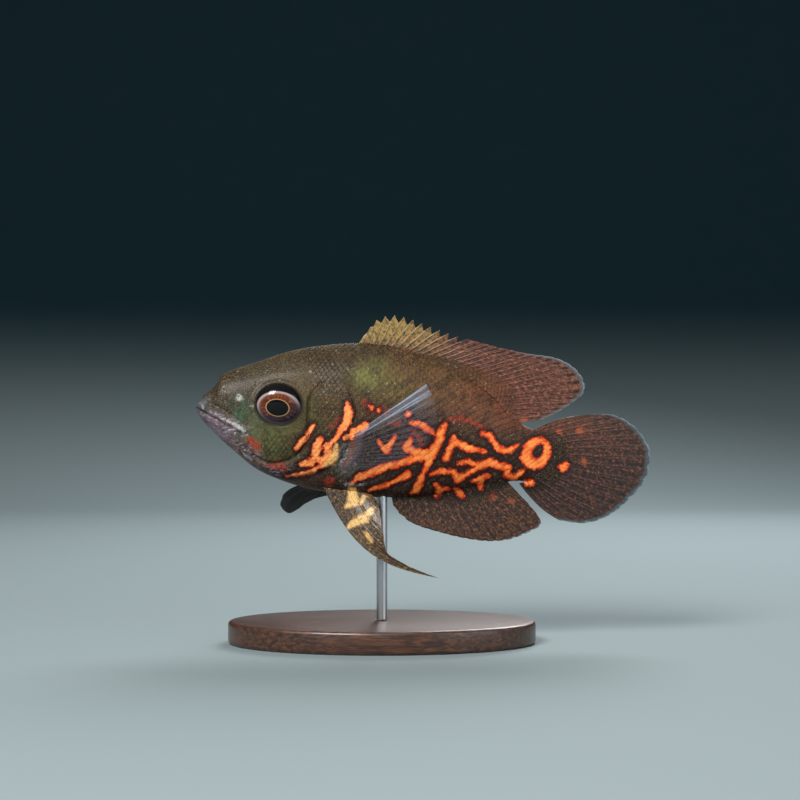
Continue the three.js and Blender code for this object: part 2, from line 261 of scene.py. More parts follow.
def vertsOf(result):
    return [g for g in result["geom"] if isinstance(g, bmesh.types.BMVert)]


def places(mesh):
    q = np.empty(len(mesh.vertices) * 3, np.float32)
    mesh.vertices.foreach_get("co", q)
    return q.reshape(-1, 3).astype(float)


def setPlaces(mesh, p):  # puts the corners at places in the fish's frame
    mesh.vertices.foreach_set("co", toRow(p).astype(np.float32).ravel())


def reopened(mesh):  # the mesh as a bmesh again
    bm = bmesh.new()
    bm.from_mesh(mesh)
    bpy.data.meshes.remove(mesh)
    return bm


def setField(mesh, name, values):
    field = mesh.attributes.new(name, "FLOAT", "POINT")
    field.data.foreach_set("value", values.astype(np.float32))


def setColour(mesh, name, values):
    field = mesh.attributes.new(name, "FLOAT_COLOR", "POINT")
    values = np.append(values, np.ones((len(values), 1)), 1)
    field.data.foreach_set("color", values.astype(np.float32).ravel())


# Body form, from the same named lines as the solids

body = {
    "back": [
        (0, 0.7), (1, 2.3), (2.6, 4.5), (4.1, 7.2), (6.7, 9.1), (10, 10.6), (18, 14.5), (27, 17.2),
        (36, 18.6), (44, 18.2), (52, 16.6), (60, 13.4), (66, 9.4), (70, 6.0), (74, 4.3), (80, 3.6)],
    "belly": [
        (0, -1.3), (1.1, -2.7), (3.6, -4.9), (9.3, -9.0), (14.3, -12.1), (20, -13.9), (28, -15.1),
        (36, -15.1), (44, -14.5), (52, -13.1), (60, -10.8), (66, -8.8), (71, -7.4), (80, -6.8)],
    "side": [
        (0, 1.5), (1, 2.5), (3, 3.7), (7, 5.0), (12, 6.0), (18, 6.8), (26, 7.3), (34, 7.1), (44, 6.2),
        (54, 4.9), (62, 3.6), (70, 2.3), (74, 1.65), (77.5, 0.95), (80, 0.42), (82, 0.04)],
    "ridge": [(0, 1), (14, 1.05), (28, 1.25), (50, 1.45), (80, 1.3)],
    "level": 0.47,  # the height of the widest line, as a share of the depth
    "front": -0.45, "blunt": 0.8, "head": 37.0, "length": 82.0,
}
backAt, bellyAt, sideAt, ridgeAt = (lineThrough(body[k]) for k in ("back", "belly", "side", "ridge"))

mouth = {
    "tip": -0.5, "slope": -0.39, "corner": 11.4, "past": 1.2,
    "lips": [(0.24, 0.75, 0.6), (0.3, -0.85, 0.75)],  # rise, height over the mouth line, width
    "cut": 0.48, "cutWidth": 0.2, "upturn": 0.3, "notch": 0.34}
eye = {
    "x": 17.9, "z": 2.5, "out": 5.3, "radii": (5.0, 2.7, 4.55), "ring": (5.35, 4.85), "tilt": radians(-12),
    "socket": 2.6, "lid": 0.16}
# the iris sits low on the ball, so the ball's dark colour shows as a wide band above it: partly the eye's own
# dark colour, partly painted shade under the brow
iris = {"x": 17.9, "z": 1.95, "radii": (4.75, 3.5), "pupil": (2.4, 1.75), "pupilShift": 0.2}
nostril = {"x": 9.0, "z": 2.9, "radius": 0.5, "rim": 0.22, "pit": 0.6}
gillEdge = [
    (25.6, 19.5), (28, 14), (31.0, 10.0), (33.0, 6.6), (34.1, 3.6), (33.9, 0.4), (33.4, -2.6), (32.7, -6.6),
    (30.2, -9.3), (25.6, -11.5), (20.4, -12.8), (15.8, -12.6)]
cheekEdge = [
    (26.6, 8.2), (24.6, 5.2), (24.7, 0.6), (25.1, -3.8), (23.8, -7.4), (20.8, -9.7), (17.2, -10.6),
    (13.6, -9.6)]
gill = {"rise": 0.38, "groove": 0.3, "fadeFrom": 5.5, "fadeTo": 9.5}
pores = [
    (6.1, 2.1), (5.4, 4.4), (12.2, 6.8), (16.8, 8.6), (22.1, 7.4), (23.6, 4.7), (12.0, -1.2), (15.6, -3.6),
    (19.6, -3.9), (23.4, -1.6), (26.9, 6.6), (8.6, -6.2), (11.4, -8.2), (22.2, -8.1), (24.3, -5.4)]


def smoothed(points, count=60):
    curve = curveThrough([(x, 0, z) for x, z in points])(np.linspace(0, 1, count))
    return [(x, z) for x, _, z in curve]


gillEdge, cheekEdge = smoothed(gillEdge), smoothed(cheekEdge, 40)
gillCover = [p for p in gillEdge if p[1] < 10.5] + [(14.6, -11.2)] + cheekEdge[::-1]
faceLines = [  # the lesser folds of the face: rise, width, and the line in the side view
    (-0.2, 0.3, [(0.7, 1.7), (2.4, 1.2), (4.6, 0.5), (8.2, -1.1), (10.8, -2.6)]),
    (-0.12, 0.16, [(0.9, 1.1), (2.2, 0.6), (3.6, 0.1)]),
    (0.24, 0.6, [(4.2, -1.1), (8.0, -2.5), (11.2, -3.9)]),
    (-0.3, 0.35, [(11.9, -4.4), (12.6, -6.2), (12.2, -7.6)]),
    (-0.2, 0.35, [(12.6, -8.0), (14.0, -9.6), (15.0, -11.4)]),
    (-0.12, 0.3, [(26.2, -8.9), (29.5, -6.8), (32.2, -5.6)]),
    (-0.16, 0.45, cheekEdge)]
faceLines += [(-0.1, 0.2, [pore]) for pore in pores]


def mouthAt(x):
    return mouth["tip"] + mouth["slope"] * x


def eyeAt(x, z):  # 1 on the rim of the eye's socket, less inside it
    return ellipse(x, z, eye["x"], eye["z"], *eye["ring"])


def nostrilAt(x, z):
    return np.hypot(x - nostril["x"], z - nostril["z"]) / nostril["radius"]


def headRelief(x, z):  # how far the sculpted face stands over the plain form, in mm
    over, ring, pit = z - mouthAt(x), eyeAt(x, z), nostrilAt(x, z)
    cut = mouth["cut"] * bump(over, mouth["cutWidth"]) * (1 - 0.68 * ease(x, 2, 7))
    rise = sum(high * bump(over - at, wide) for high, at, wide in mouth["lips"]) - cut
    rise *= ease(mouth["corner"] + mouth["past"] - x, 0, 3)
    rise += eye["lid"] * bump(ring - 1.03, 0.09) - 0.05 * bump(ring - 1.24, 0.08)
    rise -= eye["socket"] * ease(0.97 - ring, 0, 0.25)
    behind = within(x, z, gillCover)
    cover = gill["rise"] * ease(-behind, -0.12, 0.25) - gill["groove"] * bump(behind - 0.3, 0.28)
    rise += cover * (1 - ease(z, gill["fadeFrom"], gill["fadeTo"]))
    rise += nostril["rim"] * bump(pit - 1.0, 0.4) - nostril["pit"] * bump(pit, 0.45)
    return rise + sum(high * bump(awayFrom(x, z, line), wide) for high, wide, line in faceLines)


def skinPoint(x, turn, relief=True):  # a place on the skin, by its station and its turn from the back
    top, low, half = backAt(x), bellyAt(x), sideAt(x)
    level = low + body["level"] * (top - low)
    c, s = np.cos(turn), np.sin(turn)
    y = -half * np.sign(s) * np.abs(s) ** np.where(c > 0, ridgeAt(x), 1.0)
    z = level + np.where(c > 0, top - level, level - low) * c
    grow = 0
    if relief:
        grow = headRelief(x, z) * np.where(x < body["head"], np.clip(np.abs(s) * 1.6, 0, 1), 0)
        # the upper lip stands out from the snout
        lip = mouth["upturn"] * bump(x - 0.9, 0.8) - mouth["notch"] * bump(x - 3.0, 0.9)
        grow = grow + lip * ease(z - mouthAt(x), 0.2, 1.2)
    nose = np.clip((x - body["front"]) / body["blunt"], 0, 1)
    tip = np.sqrt(np.clip(1 - (1 - nose) ** 2, 0, 1))  # rounds off the snout
    return np.stack([x, (y - s * grow) * tip, level + (z - level + c * grow) * tip], -1)


# Markings, each a row of places in the side view with the mark's half width there

flameMarks = [
    [(54.4, 3.0, 0.5), (53.4, 1.2, 0.85), (53.6, -0.4, 0.8), (52.8, -2.2, 0.95), (52.1, -3.8, 1.1),
     (51.7, -5.6, 0.9), (51.2, -7.7, 0.35), (50.4, -9.9, 0.75), (49.9, -12.2, 0.85), (48.9, -12.9, 0.35)],
    [(46.9, 2.4, 0.5), (48.6, 2.5, 0.7), (50.0, 2.0, 0.75), (51.6, 0.8, 0.5)],
    [(45.9, 4.4, 0.75)],
    [(47.3, -1.2, 0.4), (46.7, -3.0, 0.95), (48.4, -3.8, 0.75), (51.5, -3.4, 0.7)],
    [(51.0, -4.4, 0.9), (47.5, -5.7, 0.75), (45.6, -6.7, 0.7), (43.4, -7.3, 0.75), (40.2, -9.2, 0.8),
     (37.2, -10.9, 0.7), (35.8, -12.3, 0.3)],
    [(47.5, -9.0, 0.85), (46.2, -9.9, 0.55), (44.6, -10.9, 0.45), (42.4, -12.4, 0.5), (39.6, -13.4, 0.3)],
    [(55.5, -4.4, 0.75), (56.0, -2.0, 0.7), (56.6, 0.5, 0.5)],
    [(56.5, -0.3, 0.6), (58.4, -0.9, 0.85), (59.8, -1.5, 0.75), (61.5, -1.5, 0.6), (63.7, -1.8, 0.35)],
    [(62.5, 2.1, 0.4), (64.4, 1.9, 0.6), (65.6, 0.5, 0.6), (66.8, -0.9, 0.65), (69.0, -0.9, 0.65),
     (70.8, 0.5, 0.45)],
    [(52.5, -8.3, 0.3), (54.8, -7.2, 0.6), (57.3, -6.9, 0.65), (58.6, -8.6, 0.75), (59.9, -7.5, 0.55),
     (61.9, -6.0, 0.55), (63.6, -4.7, 0.75), (65.3, -3.8, 0.9), (67.2, -4.4, 0.8), (69.6, -4.6, 0.7),
     (69.1, -6.4, 0.5), (71.2, -6.5, 0.7), (72.7, -4.9, 0.45)],
    [(58.4, -5.2, 0.4), (60.0, -4.3, 0.6), (62.2, -4.8, 0.55), (64.6, -4.0, 0.6)],
    [(54.0, -10.2, 0.4), (55.3, -11.4, 0.75), (54.4, -13.0, 0.4)],
    [(55.3, -11.3, 0.5), (57.0, -10.8, 0.3)],
    [(58.6, -10.8, 0.55), (59.9, -11.9, 0.6)],
    [(61.9, -8.6, 0.4), (63.6, -7.7, 0.65), (65.1, -7.0, 0.45)],
    [(63.8, -7.8, 0.7), (63.9, -10.0, 0.45)],
    [(73.7, -7.4, 0.7), (75.2, -7.4, 0.7)],
    [(81.3, -3.0, 0.95), (82.2, -2.0, 0.5)],
    [(40.3, -2.4, 0.4), (42.3, -4.3, 0.75), (43.8, -0.9, 0.4)],
    [(32.5, 4.7, 0.4), (33.2, 2.9, 0.95), (33.0, 0.8, 0.9), (32.0, -1.0, 0.65), (30.9, -3.2, 0.5),
     (29.8, -4.9, 0.5)],
    [(37.1, 0.7, 0.7), (36.0, -0.6, 1.0), (34.2, -2.2, 0.75), (33.0, -2.6, 0.5)],
    [(25.9, -0.9, 0.4), (24.6, -3.5, 0.55), (22.9, -6.2, 0.4)],
    [(27.8, -3.9, 0.7), (27.2, -5.4, 0.8), (27.0, -7.2, 0.95), (26.4, -9.0, 0.85), (24.4, -9.6, 0.5)],
    [(29.3, -4.9, 0.7), (29.9, -6.8, 0.95), (29.0, -8.2, 0.85), (27.2, -7.9, 0.7)],
    [(37.2, 4.9, 0.25), (38.0, 4.5, 0.4)], [(39.5, 4.3, 0.35)],
    [(21.2, -12.8, 0.25), (25.1, -11.7, 0.5), (27.2, -10.6, 0.5), (28.9, -9.2, 0.4)],
]
rustMarks = [
    [(30.8, -12.6, 1.0)], [(12.5, -5.8, 0.8), (14.3, -7.2, 0.8)], [(24.3, -9.2, 0.6)],
    [(18.7, -9.8, 0.35), (20.7, -10.2, 0.4)], [(17.2, -10.7, 0.35), (20.6, -11.3, 0.45)],
    [(36.2, 5.6, 0.5), (37.6, 4.6, 0.8), (38.9, 4.2, 0.9), (40.3, 4.8, 0.5)], [(41.3, 4.1, 0.5)],
    [(54.9, 4.2, 0.5), (57.5, 4.8, 0.45), (60.0, 4.4, 0.4), (62.1, 3.7, 0.45), (63.2, 2.4, 0.3)],
    [(71.6, 6.2, 0.6)], [(66.5, -11.3, 0.8)], [(70.4, -12.1, 0.7)], [(31.2, 1.3, 0.3), (29.8, -1.0, 0.4)],
    [(47.0, 0.8, 0.6), (49.0, -0.6, 0.7)], [(45.4, -2.6, 0.8), (48.6, -4.3, 0.8), (50.0, -2.0, 0.6)],
    [(42.6, 1.6, 0.4), (44.6, 2.0, 0.4)], [(84.1, 6.0, 0.9)], [(86.0, -0.8, 0.7)], [(79.6, 4.6, 0.6)],
]
creamMarks = [
    [(31.3, -4.4, 0.35), (31.4, -6.0, 0.8), (31.1, -7.8, 0.95), (30.0, -9.2, 0.6)],
    [(36.0, -14.2, 1.1), (36.6, -16.4, 1.2), (35.4, -17.4, 0.6)], [(38.9, -15.0, 0.4), (38.3, -16.4, 0.5)],
    [(41.0, -17.6, 0.6), (39.7, -19.4, 1.0), (37.6, -20.7, 0.9), (36.2, -22.2, 0.4)],
    [(40.4, -22.6, 0.3), (41.6, -24.2, 0.5)],
]
paleMarks = [
    [(3.4, -1.2, -0.3), (5.8, -2.0, 0.05), (8.8, -3.0, 0.35), (11.0, -4.0, 0.4), (12.1, -5.1, 0.0)],
    [(0.5, 0.7, 0.0), (1.4, -0.2, 0.0)], [(11.8, -9.4, 0.1), (13.4, -10.2, 0.05)],
    [(17.6, -7.4, -0.24), (18.9, -4.6, -0.24)], [(34.3, -4.6, 0.1), (34.6, -6.4, 0.3), (34.3, -7.8, 0.2)],
    [(9.0, 2.9, 0.7)], [(34.4, -12.9, 0.1), (38.0, -12.5, 0.1)], [(12.9, 7.2, -0.12)], [(16.6, 8.4, -0.1)],
]
ocellus = {
    "outer": (75.2, -0.7, 3.15, 3.75), "spread": 3.3, "spur": [(73.4, -2.2, 1.3), (71.7, -2.2, 0.3)],
    "hole": (75.5, -0.15, 1.15, 1.8), "holeSpread": 1.4, "turn": radians(-24)}
holes = [(59.4, -5.9, 0.35), (28.5, -6.0, 0.55), (25.6, -7.4, 0.7)]  # dark places inside the marks
marks = {"blaze": flameMarks, "rust": rustMarks, "cream": creamMarks, "pale": paleMarks}
midline, farthest = 0.8, 3  # mm over which the sides' drawings meet, and the longest distance kept


def flameAt(x, z):  # distance to the orange marks, with the tail's eyespot and the holes
    outer = (ellipse(x, z, *ocellus["outer"], ocellus["turn"]) - 1) * ocellus["spread"]
    outer = np.minimum(outer, awayFrom(x, z, ocellus["spur"]))
    hole = (ellipse(x, z, *ocellus["hole"], ocellus["turn"]) - 1) * ocellus["holeSpread"]
    d = np.minimum(nearest(x, z, flameMarks), np.maximum(outer, -hole))
    for hx, hz, r in holes:
        d = np.maximum(d, r - np.hypot(x - hx, z - hz))
    return d


def paintMarks(p):  # signed distance in mm to each kind of mark, below zero inside
    x, y, z = p.T
    # the right side has the same drawing, bent and moved
    drawings = ((x, z), (x + 0.9 * np.sin(0.31 * z + 1.0) - 0.8, z + 0.7 * np.sin(0.23 * x) + 0.3))
    share = ease(y, -midline, midline)  # 0 on the left side, 1 on the right
    made = {}
    for name, lines in marks.items():
        left, right = (flameAt(*spot) if name == "blaze" else nearest(*spot, lines) for spot in drawings)
        made[name] = np.clip(left * (1 - share) + right * share, -farthest, farthest)
    return made


# Ground colours of the hide by region: place, reach along and across, colour, and pull
hideRegions = [
    (3, 5, 4, 4, (30, 32, 26), 1.2), (10, 9, 6, 3, (36, 38, 26), 1.1), (18, 13, 7, 4, (42, 42, 26), 1),
    (28, 15, 7, 4, (54, 45, 27), 1), (7, 1.5, 3, 2, (34, 42, 34), 1.2),
    (9.6, -0.2, 1.1, 1.8, (30, 80, 62), 2), (12.6, -3.4, 3, 2.2, (66, 80, 58), 1.3),
    (18, -5.5, 5, 3, (76, 84, 46), 1.4), (24, 1, 3, 4, (70, 68, 36), 1.2), (24, 8, 5, 3, (64, 54, 31), 1),
    (30, 5, 4, 4, (66, 52, 30), 1), (36.5, 11, 2.8, 2.6, (104, 106, 54), 1.7),
    (43, 9.5, 3, 2.6, (94, 82, 40), 1.2), (38, 5, 5, 3, (70, 50, 28), 1), (50, 12, 7, 4, (88, 61, 35), 1),
    (60, 9, 6, 4, (108, 62, 41), 1.2), (69, 8, 6, 4, (112, 60, 45), 1.3), (56, 3, 8, 2.5, (58, 34, 26), 1.2),
    (55, -5, 12, 4.5, (30, 19, 18), 1.8), (44, -13, 12, 3, (44, 30, 30), 1),
    (73, -3, 8, 5, (26, 17, 16), 1.8), (5, -4, 4.5, 2, (112, 98, 112), 1.4),
    (11, -8.5, 3.5, 2, (100, 78, 84), 1.1), (20, -12, 5, 1.6, (78, 56, 58), 1),
    (34, -6, 1.8, 3, (104, 116, 114), 1.6), (1, 0, 1.6, 2, (72, 84, 98), 1), (27, -6, 4, 3, (40, 26, 24), 1.7),
    (40, -4, 5, 3.5, (40, 28, 28), 1.2)]
pearlPlaces = [  # where the hide is silvery: place, and reach along and across
    (4.5, -1.9, 3.0, 0.9), (9, -3.6, 3.0, 1.0), (5.5, -4.6, 4.5, 1.8), (11.5, -8.4, 3.6, 1.8),
    (19, -11.9, 5, 1.2), (33.9, -6.2, 1.5, 2.8), (37, -11.8, 3, 0.8)]


def cloud(p, x, z, rx, rz):  # 1 at a place of the side view, fading round it
    return np.exp(-((p[:, 0] - x) / rx) ** 2 - ((p[:, 2] - z) / rz) ** 2)


def hideColour(p):
    total, weights = np.zeros((len(p), 3)), np.full(len(p), 1e-9)
    for *spot, colour, pull in hideRegions:
        w = pull * cloud(p, *spot) + 1e-6
        total += w[:, None] * np.array(tint(*colour)[:3])
        weights += w
    return total / weights[:, None]


def paint(mesh, p=None, stray=0.0):
    p = fromRow(places(mesh)) if p is None else p
    for name, d in paintMarks(p).items():
        setField(mesh, name, d + stray)
    setField(mesh, "pearl", np.clip(sum(cloud(p, *spot) for spot in pearlPlaces), 0, 1))
    setColour(mesh, "hide", hideColour(p))
    return p


# Finishes of the fish

flameTones = {
    "around": (34, 12, 11), "deep": (206, 60, 22), "bright": (255, 176, 88), "head": (244, 166, 100),
    "inwards": [(0.0, (78, 16, 9)), (0.2, (158, 38, 13)), (0.46, (228, 86, 28)), (1.0, (250, 142, 68))],
    "trim": 0.16, "headReach": (0.004, -0.01)}


def flameOver(f, ground, wobble):  # the orange marks, their red edge and the dark round them
    blaze = f.field("blaze") + wobble - flameTones["trim"]
    drift = f.noise(330, 3, 0.6)
    head = f.step(f.node("ShaderNodeSeparateXYZ", {}, {0: f.place()}), *flameTones["headReach"])
    patchy = 0.25 + f.step(f.noise(1100, 3, 0.6), 0.4, 0.6) * 0.5
    inwards = f.step(blaze + (f.noise(1500, 3, 0.6) - 0.5) * 0.5, 0.2, -0.85)
    fire = f.laid(
        f.ramp(inwards, flameTones["inwards"]),
        (f.step(drift, 0.52, 0.36) * 0.4, flameTones["deep"]),
        (f.step(drift, 0.55, 0.7) * f.step(blaze, -0.2, -0.6) * 0.5, flameTones["bright"]),
        (f.step(blaze, 0.0, -0.4) * head * patchy, flameTones["head"]))
    return f.laid(
        ground, (f.step(blaze, 1.15, 0.1) * 0.86, flameTones["around"]), (f.step(blaze, 0.18, -0.08), fire))


hideTones = {
    "blotch": (24, 18, 15), "gold": (142, 100, 54), "amber": (160, 116, 62), "olive": (138, 108, 70),
    "soot": (22, 17, 14), "spark": (176, 172, 148), "silver": (190, 176, 190), "shade": (18, 13, 12),
    "glint": (140, 110, 70), "rust": (184, 70, 42), "rustDark": (110, 30, 20), "cream": (226, 172, 104),
    # the last three tones are painted shade: at the scales' free edges, at their roots, and in the face's
    # creases and hollows
    "chalk": (198, 200, 196), "scaleEdgeShade": (20, 13, 12), "scaleRootShade": (18, 12, 12), "crease": (16, 12, 13)}


def hideFinish(name, scaled):
    f, tones = Finish(name), hideTones
    fleck = f.noise(3300, 3, 0.7)
    wobble = (f.noise(900, 3, 0.6) - 0.5) * 1.7 + (fleck - 0.5) * 0.5
    silver = f.step(f.noise(1700, 4, 0.7, where=f.place((0.5, 1, 1.2))), 0.5, 0.64) * f.field("pearl")
    ground = f.laid(
        f.colour("hide"),
        (f.step(f.noise(380, 4, 0.62), 0.43, 0.62) * 0.58, tones["blotch"]),
        (f.step(f.noise(2100, 3, 0.62), 0.55, 0.7) * 0.3, tones["gold"]),
        (f.step(f.noise(2900, 2, 0.6), 0.6, 0.7) * 0.36, tones["amber"]),
        (f.step(f.noise(4200, 3, 0.6), 0.5, 0.62) * 0.36, tones["olive"]),
        (f.step(fleck, 0.56, 0.68) * 0.5, tones["soot"]),
        (f.step(f.noise(1250, 1, 0.4), 0.7, 0.76) * 0.35, tones["spark"]),
        (silver * 0.75, tones["silver"]))
    if scaled:
        shade = f.field("shade")
        ground = f.mix(shade * 0.34, ground, tones["shade"])
        ground = f.mix(f.step(shade, 0.8, 1.0) * 0.12, ground, tones["glint"])
    rust = f.mix(f.step(fleck, 0.4, 0.6), tones["rustDark"], tones["rust"])
    ground = f.mix(f.step(f.field("rust") + wobble * 1.3, 0.6, -0.7) * 0.85, ground, rust)
    ground = flameOver(f, ground, wobble * 0.7)
    pale = f.field("pale")
    chalk = f.maths("MAXIMUM", f.step(f.noise(2000, 4, 0.7), 0.34, 0.6) * 0.75, f.step(pale, -0.2, -0.5))
    ground = f.laid(
        ground,
        (f.step(f.field("cream") + wobble * 0.7, 0.3, -0.5), tones["cream"]),
        (f.step(pale + wobble * 0.7, 0.4, -0.3) * chalk, tones["chalk"]))
    height = f.noise(1500, 3, 0.6) * 0.5 + f.noise(4200, 2, 0.6) * 0.5
    if scaled:
        tip = f.field("tip")
        lit = f.step(f.field("blaze"), -0.5, 0.4) * 0.7 + 0.3  # less shading on the bright marks
        # painted shade: each scale is darker at its free edge and at its root, where it tucks under the scale
        # before
        ground = f.laid(
            ground,
            (f.step(tip, 0.72, 1.0) * lit * 0.42, tones["scaleEdgeShade"]),
            (f.step(tip, 0.42, 0.2) * lit * 0.5, tones["scaleRootShade"]))
        # growth rings and a fine fan of ribs
        ribs = f.maths("SINE", tip * 40.0) + f.maths("SINE", f.field("rib") * 16.0) * 0.6
        height = height + ribs * 0.18
    # painted shade in the face's creases and hollows
    ground = f.mix(f.field("crease") * 0.7, ground, tones["crease"])
    return f.wear(
        Base_Color=ground, Roughness=0.42 + fleck * 0.24, Normal=f.bumped(height, 0.00014, 0.7),
        Coat_Weight=0.06, Coat_Roughness=0.16, Specular_IOR_Level=0.18)


skinLook = hideFinish("moistSkin", False)
scaleLook = hideFinish("scaleCoat", True)


# Skin

skinGrid = {"along": 380, "round": 224, "headShare": 0.66, "merge": 2e-6}  # the face has closer stations


def makeSkin():
    bm = bmesh.new()
    bmesh.ops.create_grid(bm, x_segments=skinGrid["along"], y_segments=skinGrid["round"], size=1)
    mesh = meshFrom(bm, "skinGrid")
    u, v = places(mesh)[:, :2].T * 0.5 + 0.5
    front, head, share = body["front"], body["head"], skinGrid["headShare"]
    x = np.where(u < share, u / share * (head - front) + front,
                 head + (u - share) / (1 - share) * (body["length"] - head))
    setPlaces(mesh, skinPoint(x, v * 2 * pi))
    bm = reopened(mesh)
    bmesh.ops.remove_doubles(bm, verts=bm.verts, dist=skinGrid["merge"])
    bmesh.ops.holes_fill(bm, edges=[e for e in bm.edges if e.is_boundary])
    mesh = meshFrom(bm, "skin")
    x, _, z = paint(mesh).T
    # painted shade: the skin is darkened along the mouth line, the gill edge and the cheek edge, and inside
    # the eye socket and the nostril
    gillLine = bump(within(x, z, gillCover) - 0.35, 0.3) * ease(x, 15, 17) * (1 - ease(z, 4.5, 9))
    mouthLine = bump(z - mouthAt(x), 0.19) * ease(mouth["corner"] - x, -0.3, 0.6)
    crease = 0.3 * bump(awayFrom(x, z, cheekEdge), 0.3) + 0.75 * gillLine
    crease += 0.85 * mouthLine * (1 - 0.8 * ease(x, 1.5, 6))
    crease += ease(1.09 - eyeAt(x, z), 0, 0.1) + ease(0.5 - nostrilAt(x, z), 0, 0.4)
    setField(mesh, "crease", np.clip(crease, 0, 1) * (x < body["head"]))
    return addPiece(
        "skin", mesh, skinLook, "skin_body",
        "head", "lower_jaw", "gill_cover_left", "gill_cover_right", "trunk", "tail_stem")


skin = makeSkin()
print("skin", len(skin.data.vertices))


# Scales: small crowned plates, each sunk at its root and lifted at its free edge

coat = {
    "step": 1.72, "row": 0.86, "length": 2.35, "width": 1.98, "lift": 0.15, "sink": 0.1, "crown": 0.06,
    "rows": 36, "from": 15.5, "to": 81.0, "stray": 0.05, "swing": radians(4), "patch": 0.003,
    "ridge": radians(38), "rootPull": 0.14}
plate = {  # half a plate's outline, from its root to its free edge, and how far the corners sweep back
    "along": [-0.45, -0.16, 0.14, 0.37, 0.5], "wide": [0.3, 0.49, 0.5, 0.37, 0.14],
    "across": [-1, -0.55, 0, 0.55, 1], "sweep": 0.06}
# the face inside this outline has no scales
bareFace = [
    (0, 20), (17.5, 20), (21, 13), (24.0, 9.2), (24.4, 6), (24.6, 2), (24, -2.6), (17.5, -3.6), (13.6, -6),
    (13, -9.5), (16.2, -13.2), (22, -13.5), (30.4, -10.4), (31, -16), (0, -16)]
lastRow = {"x": 81.2, "round": 2.2, "z": -1.6, "half": 6}


def scalePlate():  # one plate 1 long and 1 wide, as corner places and faces
    a, b = np.meshgrid(plate["along"], plate["across"], indexing="ij")
    w = np.array(plate["wide"])[:, None] * b
    a = a - plate["sweep"] * b ** 2 * (a > 0)
    run = (a - plate["along"][0]) / (plate["along"][-1] - plate["along"][0])
    spots = np.stack([a.ravel(), w.ravel(), (1 - b ** 2).ravel(), run.ravel()], -1)
    at = lambda i, j: i * 5 + j
    quads = [(at(i, j), at(i, j + 1), at(i + 1, j + 1), at(i + 1, j)) for i in range(4) for j in range(4)]
    rim = [at(0, j) for j in range(5)] + [at(i, 4) for i in range(1, 5)]
    rim += [at(4, j) for j in range(3, -1, -1)] + [at(i, 0) for i in range(3, 0, -1)]
    return spots, quads, rim


def bodySurface(x, turn):
    return skinPoint(np.clip(x, 11, body["length"]), turn)


def slopes(surface, a, b, outward):  # the surface's own two ways at a place, and the way out of it
    pa = (surface(a + 0.02, b) - surface(a - 0.02, b)) / 0.04
    pb = (surface(a, b + 0.004) - surface(a, b - 0.004)) / 0.008
    n = np.cross(pa, pb)
    n /= np.linalg.norm(n, axis=1, keepdims=True) + 1e-12
    return pa, pb, n * np.sign((n * outward(a, b)).sum(1, keepdims=True))


def bodyOut(x, turn):
    return np.stack([0 * x, -np.sin(turn), np.cos(turn)], -1)


def girthRows():  # places of the scales on one side, row by row and staggered, with their sizes
    stations, turns = np.linspace(12, body["length"], 200), np.linspace(0.0, pi, 241)
    x, t = np.meshgrid(stations, turns, indexing="ij")
    p = skinPoint(x.ravel(), t.ravel(), relief=False).reshape(len(stations), len(turns), 3)
    steps = np.linalg.norm(np.diff(p, axis=1), axis=2)
    run = np.concatenate([np.zeros((len(stations), 1)), np.cumsum(steps, 1)], 1)
    run -= run[:, [118]]
    roots = []
    for row in range(-coat["rows"], coat["rows"] + 1):
        place = coat["from"]
        while place < coat["to"]:
            small = 1 - 0.34 * ease(place, 60, 78) - 0.36 * ease(30 - place, -4, 3)
            here = place + (0.5 * coat["step"] * small if row % 2 else 0)
            i = min(np.searchsorted(stations, here), len(stations) - 1)
            narrow = 1 - 0.34 * ease(place, 56, 78)
            turn = np.interp(row * coat["row"] * narrow, run[i], turns, left=-1, right=-1)
            if turn > 0.02:
                roots.append((here, turn, small))
            place += coat["step"] * small
    return np.array(roots)


def keepRoots(roots):  # scales cover the body, gill cover and cheek, but not the face
    x, turn, small = roots.T
    z = skinPoint(x, turn, relief=False)[:, 2]
    cover = within(x, z, gillCover)
    gap = (np.abs(cover - 0.2) < 0.35) & (z < 7.5)  # the bare edge of the gill cover
    tail = x < lastRow["x"] - lastRow["round"] * ((z - lastRow["z"]) / lastRow["half"]) ** 2
    return (within(x, z, bareFace) > 0.2) & (eyeAt(x, z) > 1.35) & ~gap & tail


